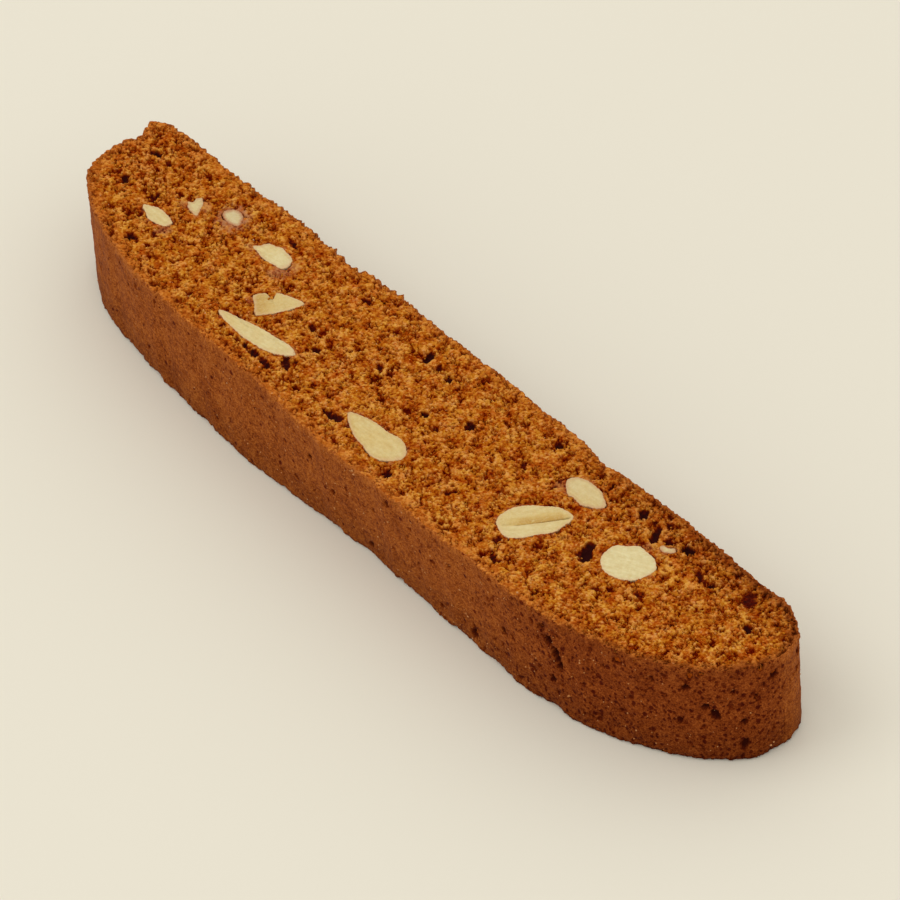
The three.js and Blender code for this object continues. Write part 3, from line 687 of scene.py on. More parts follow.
def crumb_face(name, step, almonds, pores, spots, seed, up, parts=1):
    """One cut face: open baked crumb as closed slabs, set inside the crust. up: the upper face."""
    loop, nrm = outline(LOOP_STEPS)
    arc = PERIMETER * np.arange(LOOP_STEPS) / LOOP_STEPS
    loop = loop + nrm * (ragged(LOOP_STEPS) if up else 0.4 * ragged(LOOP_STEPS) + foot_lumps(arc) - lean(arc, 0))[:, None]
    x0, y0 = loop[:, 0].min() - 0.5, loop[:, 1].min() - 0.5
    nx, ny = int((np.ptp(loop[:, 0]) + 1.0) / step) + 1, int((np.ptp(loop[:, 1]) + 1.0) / step) + 1
    gx, gy = x0 + step * np.arange(nx), y0 + step * np.arange(ny)
    X, Y = np.meshgrid(gx, gy, indexing="ij")
    shape, st = X.shape, (step, step)
    rng = np.random.default_rng(seed)

    def field(wave, spread, k):
        return grain_noise(shape, st, wave, spread, seed + k)

    inset, kk = loop_distance(np.c_[X.ravel(), Y.ravel()], loop, nrm)
    inset = inset.reshape(shape)
    base_side = smooth(0.1, 0.7, nrm[kk, 1]).reshape(shape)        # 1 next to the flat base crust
    near = np.full(shape, 9.0)                                      # distance from the nearest almond
    for lp, ln in almond_edges(almonds):
        c, r = lp.mean(0), np.ptp(lp, axis=0) / 2 + 3
        w = (np.abs(X - c[0]) < r[0]) & (np.abs(Y - c[1]) < r[1])
        d, _ = loop_distance(np.c_[X[w], Y[w]], lp, ln)
        near[w] = np.minimum(near[w], -d)

    area = nx * ny * step * step
    # the far side of the crumb towards the right end is more open and browner
    far_right = base_side * smooth(9, 1, inset) * smooth(10, 45, X)
    tip = smooth(-60, -68, X) * smooth(-3, 3, Y)                    # and so is the crumbled left tip
    open_map = np.clip(0.44 + 0.33 * field(5.0, 0.6, 5) + 0.45 * far_right + 0.45 * tip, 0, 1.1)
    close = smooth(1.7, 0.4, inset) * (1 - 0.5 * base_side)         # packed tight next to the crust
    wx = X + 0.07 * field(0.8, 0.4, 1) + 0.060 * field(0.46, 0.3, 31)
    wy = Y + 0.07 * field(0.8, 0.4, 2) + 0.060 * field(0.46, 0.3, 32)
    lump = (0.10 * field(3.4, 0.5, 3) + (0.10 + 0.10 * tip) * field(1.7, 0.4, 4)) * (1 - 0.75 * close)
    tone_map = 0.49 - 0.16 * (open_map - 0.44) + 0.21 * field(5.5, 0.6, 6) + 0.17 * field(2.0, 0.45, 7) + 0.14 * field(1.0, 0.4, 50) - 0.22 * tip

    def at(G, x, y):
        return G[np.clip(((x - x0) / step).astype(int), 0, nx - 1), np.clip(((y - y0) / step).astype(int), 0, ny - 1)]

    n = int(11.5 * area)
    x, y = rng.uniform(gx[0], gx[-1], n), rng.uniform(gy[0], gy[-1], n)
    a = 0.17 + 0.19 * rng.random(n) ** 2.2
    a = np.where(rng.random(n) < 0.02, a * 1.5, a) * (1 - 0.20 * at(close, x, y))
    packed = at(close, x, y)
    items = np.c_[x, y, a, a * rng.uniform(0.45, 1.0, n), rng.uniform(0, np.pi, n),
                  at(lump, x, y) + rng.normal(0, 0.045, n) * (1 - 0.6 * packed), a * rng.uniform(0.25, 0.72, n) * (1 - 0.25 * packed),
                  np.clip(at(tone_map, x, y) + rng.normal(0, 0.17, n), 0, 1), rng.normal(0, 1, n)]
    H, T, G = np.full(shape, -0.45), np.full(shape, 0.3), np.zeros(shape)
    pile(wx, wy, (x0, y0), step, items, H, T, G)
    H += 0.022 * field(0.45, 0.3, 8)
    cut = np.percentile(H, 50)                                      # the knife's level
    k = 0.045
    depth = 0.03 + k * np.logaddexp(0, (cut - H) / k) * (0.40 + 0.72 * open_map) + 0.035 * np.abs(field(14.0, 0.4, 9))

    # hollows: each is a few joined pockets, so none is round
    def hollows(count, r0, r1, deep, bunch, power=0.55):
        x, y = rng.uniform(gx[0], gx[-1], count), rng.uniform(gy[0], gy[-1], count)
        keep = (at(inset, x, y) > 0.25) & (at(near, x, y) > 0.1) & (rng.random(count) < 0.15 + 0.85 * at(open_map, x, y))
        keep &= rng.random(count) > 0.75 * at(close, x, y)
        x, y = x[keep], y[keep]
        r = r0 + (r1 - r0) * rng.random(len(x)) ** 1.8
        rows = []
        for j in range(bunch):
            m = len(x)
            t = rng.uniform(0, 2 * np.pi, m)
            o = r * (0.9 if j else 0.0)
            rr = r * (1 if j == 0 else rng.uniform(0.45, 0.85, m))
            rows.append(np.c_[x + o * np.cos(t), y + o * np.sin(t), rr, rr * rng.uniform(0.5, 1, m), rng.uniform(0, np.pi, m),
                              deep * rr * rng.uniform(0.7, 1.3, m), np.full(m, power)])
        return np.vstack(rows)

    hx = X + 0.14 * field(1.0, 0.35, 20) + 0.04 * field(0.55, 0.3, 21)
    hy = Y + 0.14 * field(1.0, 0.35, 22) + 0.04 * field(0.55, 0.3, 23)
    D, S = np.zeros(shape), np.zeros(shape)
    carve(hx, hy, (x0, y0), st, hollows(int(1.45 * area), 0.15, 0.30, 1.25, 2), 0.7, D)
    carve(hx, hy, (x0, y0), st, hollows(int((0.28 if spots else 0.50) * area), 0.27, 0.50, 1.2, 3), 0.7, D)
    if spots:
        few = []
        for bx, by, bl, bw, bt, bd in spots:
            t, m = math.radians(bt), max(2, round(bl * bw / 0.62))
            u = (np.arange(m) + 0.5) / m * 2 - 1 + rng.uniform(-0.25, 0.25, m)
            v = rng.uniform(-0.55, 0.55, m) * np.sqrt(np.clip(1 - u * u, 0.05, 1))
            u, v = u * (bl / 2 - 0.25), v * bw / 2
            r = 0.55 * np.sqrt(bl * bw / m) * rng.uniform(0.7, 1.15, m)
            for a_, b_, r_ in zip(u, v, r):
                few.append((bx + a_ * math.cos(t) - b_ * math.sin(t), by + a_ * math.sin(t) + b_ * math.cos(t), r_,
                            r_ * rng.uniform(0.55, 0.95), t + rng.normal(0, 0.6), bd * rng.uniform(0.75, 1.25), 0.6))
        carve(hx, hy, (x0, y0), st, few, 0.75, S)
        D = np.maximum(D, 0.62 * S)
    else:
        carve(hx, hy, (x0, y0), st, hollows(int(0.050 * area), 0.48, 0.78, 1.15, 3), 0.7, D)
    big = []
    for bx, by, bl, bw, bt, bd in pores:
        t = math.radians(bt)
        big.append((bx, by, bl / 2 * 1.05, bw / 2 * 1.12, t, bd, 0.5))
        o = rng.normal(0, 0.10, 2) * min(bw, 2.5)
        big.append((bx + o[0] + bl * 0.22 * math.cos(t), by + o[1] + bl * 0.22 * math.sin(t), bl * 0.30, bw * 0.50, t + 0.6, bd * 0.8, 0.5))
    px_ = X + 0.11 * field(1.3, 0.35, 40) + 0.035 * field(0.6, 0.3, 41)
    py_ = Y + 0.11 * field(1.3, 0.35, 42) + 0.035 * field(0.6, 0.3, 43)
    P = carve(px_, py_, (x0, y0), st, big, 0.8)
    # near-black inside the larger pores: painted shade deep in the hollow
    pore_shade = smooth(0.25, 1.0, P + 0.10 * field(0.9, 0.35, 44) * (P > 0.15))
    pore_shade = np.maximum(pore_shade, 0.50 * smooth(0.25, 1.0, S + 0.08 * field(0.9, 0.35, 44) * (S > 0.1)))
    D = np.maximum(D, P)
    depth = D + (depth - 0.06) * (1 - 0.75 * smooth(0.15, 0.6, D)) + 0.06
    # it meets the lip of the crust level, and only goes down behind it at the very edge
    depth -= 0.05 * smooth(1.2, 0.3, inset)
    depth += 0.12 * smooth(0.20, 0.0, inset)
    # round an almond the crumb is pressed flat against it, with an uneven thin gap
    calm = smooth(0.9, 0.1, near) * (D < 0.3)
    depth = depth * (1 - 0.5 * calm) + 0.04 * calm
    gap = smooth(0.26, 0.10, near) * smooth(0.0, 1.2, field(2.6, 0.4, 10) - 0.45)
    depth += 0.7 * gap
    depth += 0.045 * smooth(0.22, 0.0, np.abs(field(0.8, 0.35, 52))) * (near > 0.2) * (D < 0.3)
    depth = np.maximum(depth, 0.10 + 1.6 * smooth(-0.02, -0.5, near))
    depth = np.clip(depth, 0.02, 3.4)

    # how open or proud each spot is against its surroundings, for its colour: painted shade in hollows and between
    # grains and painted highlights on proud grains, added to the crumb's own tone
    f2 = np.fft.fftfreq(nx, step)[:, None] ** 2 + np.fft.rfftfreq(ny, step)[None] ** 2

    def blur(g, r):
        return np.fft.irfft2(np.fft.rfft2(g) * np.exp(-2 * (np.pi * r) ** 2 * f2), s=shape)

    d = np.where(near < 0, 0.1, np.minimum(depth, 1.6))
    proud = np.clip(blur(d, 0.40) - d, -0.4, 0.2)
    painted_light_tone = 0.63 + 0.50 * proud + 0.42 * np.clip(blur(d, 1.5) - d, -0.8, 0.3) - 0.16 * np.clip(d - 0.35, 0, 2)
    # lighter on some grains as painted highlights, darker in hollows and spots as painted shade
    painted_light_tone += 0.070 * G * smooth(0.5, 0.15, D) - 0.38 * smooth(0.16, 0.65, D) - 0.30 * smooth(0.03, 0.50, S)
    painted_light_tone += (0.098 * field(5.0, 0.5, 11) + 0.070 * field(2.6, 0.45, 12) + 0.045 * field(1.4, 0.4, 13) + 0.075 * field(0.8, 0.35, 19)
            + 0.070 * field(0.5, 0.3, 45)) * (1 - 0.5 * close)
    # the patches next to an almond are painted shade in the gap round it; the rest is the crumb's own tone
    painted_light_tone += 0.06 * close - 0.10 * far_right - 0.11 * smooth(0.75, 0.10, near) * smooth(-1.2, 0.4, field(2.0, 0.4, 53))
    # tones of the band next to the domed crust: duller to the left, and again behind the right end
    dome = 1 - base_side
    painted_light_tone -= 0.085 * dome * smooth(-4, -20, X) * smooth(0.10, 0.35, inset) * smooth(1.9, 1.0, inset)
    painted_light_tone -= 0.070 * dome * smooth(36, 50, X) * smooth(1.1, 1.9, inset) * smooth(4.0, 2.9, inset)
    painted_light_tone += 0.055 * dome * smooth(-20, -8, X) * smooth(42, 30, X) * smooth(1.0, 1.6, inset) * smooth(3.2, 2.4, inset)
    painted_light_tone = np.clip(painted_light_tone, 0, 1)
    rose = smooth(0.95, 1.8, field(0.9, 0.4, 51) + 0.5 * G - 0.5 * smooth(-20, -60, X))
    rim = smooth(2.6, 0.5, inset + 0.35 * field(1.6, 0.5, 14)) * (1 - 0.5 * base_side)
    end = smooth(36, 64, X)
    burnt = end * smooth(1.9, 0.15, inset + 0.22 * field(1.8, 0.5, 15)) + 0.30 * far_right
    pale = 0.40 * smooth(0.50, 0.0, near + 0.15 * field(1.0, 0.4, 16)) * smooth(-0.6, 0.8, field(3.0, 0.4, 46))
    if up:
        soft = 0.25 * field(1.2, 0.4, 47)
        for px, py, pr, amt in SMEARS:
            pale = np.maximum(pale, amt * smooth(1.7, 0.5, np.hypot(X - px, Y - py) / pr + soft))

    # lattice cells inside the crust
    ok = inset > (0.07 if up else 0.22) + 0.06 * np.clip(field(1.1, 0.4, 30), -1, 2)
    cell = ok[:-1, :-1] & ok[1:, :-1] & ok[:-1, 1:] & ok[1:, 1:]
    ins_c = inset[:-1, :-1]

    def grow(seed_cells, allowed):
        g = seed_cells & allowed
        for _ in range(24):
            h = g.copy()
            h[1:] |= g[:-1]
            h[:-1] |= g[1:]
            h[:, 1:] |= g[:, :-1]
            h[:, :-1] |= g[:, 1:]
            g = h & allowed
        return g

    cell = grow(ins_c > 0.5, cell)                # no islands and no holes along the edge
    cell = ~grow(ins_c < -0.1, ~cell)
    for _ in range(20):                           # no cells that meet only at a corner
        p = np.pad(cell, 1)
        d1 = p[:-1, :-1] & p[1:, 1:] & ~p[1:, :-1] & ~p[:-1, 1:]
        d2 = ~p[:-1, :-1] & ~p[1:, 1:] & p[1:, :-1] & p[:-1, 1:]
        if not (d1 | d2).any():
            break
        for i, j in zip(*np.nonzero(d1 | d2)):
            cell[max(0, i - 1):i + 1, max(0, j - 1):j + 1] = False
    z = (THICK - depth) if up else depth
    PX, PY = X + 0.035 * field(0.6, 0.4, 17), Y + 0.035 * field(0.6, 0.4, 18)
    # its edge, in order, eased from steps into a crumbly line
    idx = np.arange(nx * ny).reshape(shape)
    ci, cj = np.nonzero(cell)
    ring = edge_ring(np.stack([idx[ci, cj], idx[ci + 1, cj], idx[ci + 1, cj + 1], idx[ci, cj + 1]], 1))
    pos = np.c_[PX.ravel()[ring], PY.ravel()[ring]]
    for _ in range(3):
        pos = 0.5 * pos + 0.25 * (np.roll(pos, 1, 0) + np.roll(pos, -1, 0))
    _, kr = loop_distance(pos, loop, nrm)
    inward = np.zeros((nx * ny, 2))
    inward[ring] = -nrm[kr]
    PX.ravel()[ring], PY.ravel()[ring] = (pos + nrm[kr] * 0.06).T
    # normals of the whole face, so that the slabs join without a line
    zx = np.gradient(z, axis=0) / step
    zy = np.gradient(z, axis=1) / step
    N = np.stack([-zx, -zy, np.ones(shape)], -1) * (1 if up else -1)
    N /= np.linalg.norm(N, axis=2, keepdims=True)

    made = []
    cuts = [0] + [int(np.searchsorted(gx, v)) for v in np.linspace(gx[0], gx[-1], parts + 1)[1:-1]] + [nx]
    for m_, (i0, i1) in enumerate(zip(cuts[:-1], cuts[1:])):
        w = (ci >= i0) & (ci < i1)
        q = np.stack([idx[ci[w], cj[w]], idx[ci[w] + 1, cj[w]], idx[ci[w] + 1, cj[w] + 1], idx[ci[w], cj[w] + 1]], 1)
        used, flat = np.unique(q, return_inverse=True)
        quads = flat.reshape(q.shape)
        V = np.c_[PX.ravel()[used], PY.ravel()[used], z.ravel()[used]]
        edge = edge_ring(quads)
        n0, nr = len(V), len(edge)
        rows, extra, go = [edge], [], inward[used[edge]]
        for inw, down in ((0.12, 1.4), (0.45, 3.0), (0.9, 4.6)):
            extra.append(np.c_[V[edge, :2] + go * inw, np.full(nr, THICK - down if up else down)])
            rows.append(n0 + (len(rows) - 1) * nr + np.arange(nr))
        faces = [quads]
        for p, r in zip(rows[:-1], rows[1:]):
            faces.append(np.stack([np.roll(p, -1), p, r, np.roll(r, -1)], 1))
        faces.append(rows[-1][::-1])
        V = np.vstack([V, *extra])
        side = np.c_[-go, np.zeros(nr)]
        NV = np.vstack([N.reshape(-1, 3)[used], side, side, side])
        pad = len(V) - n0
        if not up:
            faces = [f[..., ::-1] for f in faces]

        def fill(v, c):
            return np.r_[v.ravel()[used], np.full(pad, c)]

        attrs = dict(painted_light_tone=fill(painted_light_tone, 0.3), tone=fill(T, 0.5), rim=fill(rim, 1.0), pale=fill(pale, 0.0), burnt=fill(burnt, 0.0), pore_shade=fill(pore_shade, 0.0), rose=fill(rose, 0.0))
        ob = make_mesh(name + ("" if parts == 1 else "_%d" % (m_ + 1)), V, faces, CRUMB, attrs)
        ob.data.normals_split_custom_set_from_vertices(NV.astype(np.float32).tolist())
        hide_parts("cookie_slice")
        made.append(ob)
    return made, dict(depth=depth, near=near, inset=inset, x0=x0, y0=y0, step=step)


# x, y, size and strength of pale smears of almond in the crumb
SMEARS = [(-49.9, 6.8, 2.0, 0.85), (-36.2, 5.0, 1.3, 0.60), (-36.6, 3.6, 0.9, 0.45), (-35.3, 6.6, 0.9, 0.40),
          (-54.9, 5.3, 0.9, 0.40), (-55.6, -2.3, 1.0, 0.45), (-34.9, -2.6, 0.5, 0.30),
          (-43.4, 4.8, 0.8, 0.30), (-57.7, 3.4, 0.6, 0.40), (45.2, 6.4, 0.9, 0.30), (27.0, 5.8, 0.9, 0.35)]


def orient(ob):
    """Faces pointing out, whichever way they were listed."""
    import bmesh
    bm = bmesh.new()
    bm.from_mesh(ob.data)
    bmesh.ops.recalc_face_normals(bm, faces=bm.faces)
    bm.to_mesh(ob.data)
    bm.free()


_, TOP = crumb_face("crumb_upper", 0.152, [*UPPER, CHIP_11], UPPER_PORES, [], 11, True, 2)
_, LOW = crumb_face("crumb_lower", 0.25, LOWER, LOWER_PORES, [], 71, False)

# ------------------------------------------------------------------ crust round the side
# s, z, length, width, turn and depth of the crust's larger pits
CRUST_PITS = [
    (288.1, 17.4, 2.3, 0.7, 42, 0.9), (289.6, 15.3, 2.0, 1.1, 85, 1.5), (290.8, 12.9, 3.2, 1.25, -80, 1.7),
    (291.5, 10.8, 2.2, 0.9, -85, 1.4), (289.9, 7.0, 1.6, 0.9, 85, 0.9), (279.9, 9.8, 1.6, 0.9, -35, 0.9),
    (272.2, 3.0, 2.2, 1.3, 70, 0.8), (301.9, 18.0, 1.4, 1.2, 0, 0.8), (313.2, 19.0, 2.0, 0.8, 85, 0.8),
    (312.5, 16.1, 1.4, 1.1, 60, 0.8), (315.4, 12.3, 1.2, 1.0, 20, 0.9), (316.8, 10.4, 2.2, 1.2, -60, 1.1),
    (321.1, 8.6, 1.2, 0.9, 0, 0.9), (321.0, 3.8, 2.4, 1.1, 82, 0.9), (311.5, 8.7, 1.3, 0.8, 75, 0.7),
    (325.9, 17.3, 1.8, 1.1, 80, 0.9), (324.0, 19.6, 1.5, 0.8, 85, 0.6), (307.4, 16.3, 1.2, 0.7, -65, 0.6),
    (323.0, 13.2, 1.5, 0.6, -80, 0.6), (3.6, 17.4, 2.0, 0.9, -70, 0.8), (2.8, 14.2, 1.3, 0.8, -71, 0.7),
    (6.5, 11.0, 1.2, 0.8, 80, 0.7), (192.5, 17.1, 1.5, 0.5, 85, 0.4), (197.6, 17.6, 1.8, 0.4, 88, 0.4),
    (235.9, 13.8, 1.2, 0.6, 80, 0.9), (240.7, 9.6, 1.2, 0.6, 80, 0.7), (247.9, 3.1, 1.3, 0.9, 75, 0.9),
    (250.2, 13.0, 1.2, 0.5, 85, 0.5), (254.4, 18.0, 1.2, 0.6, 85, 0.7), (264.8, 3.2, 1.3, 0.7, 20, 0.4),
    (224.1, 17.4, 1.4, 0.3, 35, 0.3),
]
def crust_wall():
    ns = 1216
    loop, nrm = outline(ns)
    rag = ragged(ns)
    arc = PERIMETER * np.arange(ns) / ns
    ds = PERIMETER / ns
    cells = [(4.4, 1.8, 0), (1.9, 1.45, 0), (0.85, 1.15, 0), (0.5, 0.85, 0.3), (0.33, 0.6, 0.5)]   # height, inset, relief
    cells += [(z, CUT_ROUND_LOW * (1 - math.sqrt(max(0, 1 - (1 - min(z, 1.6) / 1.6) ** 2))), 1) for z in (0.26, 0.34, 0.48, 0.68, 0.9, 1.15, 1.4)]
    cells += [(z, 0.0, 1) for z in np.linspace(1.65, THICK - 0.95, 59)]
    cells += [(THICK - d, i, a) for d, i, a in ((0.70, 0.0, 1), (0.48, 0.01, 1), (0.32, 0.03, 1), (0.20, 0.06, 1), (0.12, 0.12, 0.8),
                                                (0.10, 0.22, 0.6), (0.20, 0.36, 0.4), (0.6, 0.60, 0.2), (1.7, 0.95, 0), (4.4, 1.5, 0))]
    zz = np.array([c[0] for c in cells])
    ins = np.array([c[1] for c in cells])
    amt = np.array([c[2] for c in cells], float)
    nz = len(cells)
    # the relief is worked out on an even (round, up) lattice and read at each row's height
    step = 0.2
    gz = np.arange(-1, THICK + 1, step)
    shape, st = (ns, len(gz)), (ds, step)
    S, Z = np.meshgrid(arc, gz, indexing="ij")
    rng = np.random.default_rng(301)

    def field(wave, spread, k):
        return grain_noise(shape, st, wave, spread, 301 + k)

    ws = S + 0.10 * field(0.8, 0.35, 1)
    wz = Z + 0.14 * field(0.8, 0.35, 2)
    dome = smooth(-0.2, 0.3, -nrm[:, 1])          # 1 on the domed crust, 0 on the flat base crust
    well_done = smooth(5, 66, loop[:, 0]) * dome  # more and wider pits where it is baked darker
    base = smooth(0.5, 0.9, nrm[:, 1])

    def pits(count, r0, r1, deep, tall, lo_share):
        s, z = rng.uniform(0, PERIMETER, count), rng.uniform(0.1, THICK - 0.2, count)
        i = (s / ds).astype(int) % ns
        keep = rng.random(count) < lo_share + (1 - lo_share) * np.maximum(well_done[i], 0.55 * base[i])
        s, z = s[keep], z[keep]
        n = len(s)
        r = r0 + (r1 - r0) * rng.random(n) ** 2
        return np.c_[s, z, r, r * rng.uniform(1.0, tall, n), rng.normal(0, 0.3, n), deep * r * rng.uniform(0.7, 1.2, n), np.full(n, 0.6)]

    area = PERIMETER * THICK
    D = np.zeros(shape)
    carve(ws, wz, (0, gz[0]), st, pits(int(0.30 * area), 0.16, 0.27, 0.9, 1.5, 0.20), 0.5, D, wrap=True)
    carve(ws, wz, (0, gz[0]), st, pits(int(0.10 * area), 0.24, 0.44, 0.9, 1.5, 0.16), 0.5, D, wrap=True)
    vs = S + 0.10 * field(1.0, 0.35, 13) + 0.05 * field(0.6, 0.3, 14)
    vz = Z + 0.10 * field(1.0, 0.35, 15) + 0.05 * field(0.6, 0.3, 16)
    B = carve(vs, vz, (0, gz[0]), st, [(s, z, l / 2 * 1.08, w / 2 * 1.12, math.radians(t), d, 0.6) for s, z, l, w, t, d in CRUST_PITS], 0.5, wrap=True)
    # the deep part of the larger pits, painted near-black as their shade
    hole_shade = smooth(0.22, 0.80, B)
    D = np.maximum(D, B)
    bump = 0.024 * field(6.0, 0.5, 4) + 0.016 * field(2.2, 0.4, 5) + 0.018 * field(0.9, 0.35, 6)
    foot = smooth(2.6, 0.3, Z)
    lumps = foot_lumps(arc)
    bump += foot * (lumps[:, None] + 0.045 * field(2.2, 0.4, 7) + 0.028 * field(1.1, 0.3, 8))
    bump += smooth(THICK - 1.3, THICK - 0.3, Z) * (0.03 * field(1.2, 0.4, 11) + 0.03 * field(0.7, 0.3, 12))
    relief = bump - D
    # darker where pitted: painted shade in the pits
    pit_shade = np.clip(D / 0.30, 0, 1)
    tone_g = 0.5 + 0.12 * field(9.0, 0.6, 9) + 0.09 * field(2.0, 0.5, 10)

    def read(G, z):
        f = (z - gz[0]) / step
        k = int(f)
        return G[:, k] * (1 - (f - k)) + G[:, k + 1] * (f - k)

    V, P, T, R, L, H = [], [], [], [], [], []
    lip = ring_noise(ns, 1.6, 0.5, 310)
    for k in range(nz):
        z = zz[k]
        d_top, d_low = THICK - z, z
        edge = min(d_top, d_low)
        rz = float(np.clip(z, 0, THICK))
        out = read(relief, rz) * amt[k] - ins[k] - lean(arc, z) + rag * float(smooth(1.8, 0.4, edge)) * (1 if d_top < d_low else 0.4)
        zk = np.full(ns, z)
        if edge < 0.9 and amt[k] > 0.35:
            zk = z + (-0.03 if d_top < d_low else 0.035) * lip
        V.append(np.c_[loop + nrm * out[:, None], np.clip(zk, 0.2 if d_low < 3 else 0, THICK - 0.04)])
        # painted shade in the pits, and along the foot of the wall next to the floor
        P.append(np.maximum(read(pit_shade, rz) * amt[k], 0.50 * float(smooth(0.9, 0.3, z))))
        H.append(read(hole_shade, rz) * amt[k])
        T.append(np.clip(read(tone_g, rz), 0, 1))
        R.append(smooth(2.2, 0.0, edge + 0.25 * lip) * (1 if d_top < d_low else 0.1))
        # painted shade towards the floor, strongest at the bottom
        L.append(np.full(ns, smooth(11.0, 0.5, z)))
    V = np.vstack(V)
    a = np.arange(ns)
    faces = []
    for k in range(nz - 1):
        p, q = k * ns + a, (k + 1) * ns + a
        faces.append(np.stack([p, np.roll(p, -1), np.roll(q, -1), q], 1))
    faces += [a[::-1], (nz - 1) * ns + a]
    # baked browner, and at the right end partly painted shade of the side facing away from the key light
    brown = np.maximum(smooth(20, 54, loop[:, 0]) * dome, 0.45 * base)
    attrs = dict(pit_shade=np.concatenate(P), tone=np.concatenate(T), rim=np.concatenate(R), floor_shade=np.concatenate(L), brown=np.tile(brown, nz),
                 hole_shade=np.concatenate(H))
    return V, faces, attrs, dict(relief=relief, gz=gz, step=step, ns=ns, ds=ds, loop=loop, nrm=nrm)


V, F, A, WALL = crust_wall()
crust = make_mesh("crust_side", V, F, CRUST, A)
orient(crust)
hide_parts("cookie_slice")


# ------------------------------------------------------------------ almonds
# how golden each cut almond is, 0 cream to 1 deep yellow, and how pink its rim is
GOLD = {"almond_01": 0.62, "almond_02": 0.35, "almond_03": 0.05, "almond_04": 0.20, "almond_05": 0.62, "almond_06": 0.45,
        "almond_07": 0.85, "almond_08": 0.50, "almond_09": 0.40, "almond_10": 0.08}
PINK = {"almond_03": 1.0, "almond_02": 0.45, "almond_04": 0.30, "almond_11": 0.7, "almond_08": 0.40, "almond_07": 0.25}
DULL = {"almond_01": 0.10, "almond_05": 0.12, "almond_06": 0.05, "almond_02": 0.25, "almond_03": 0.45, "almond_07": 0.10, "almond_08": 0.25, "almond_09": 0.06}


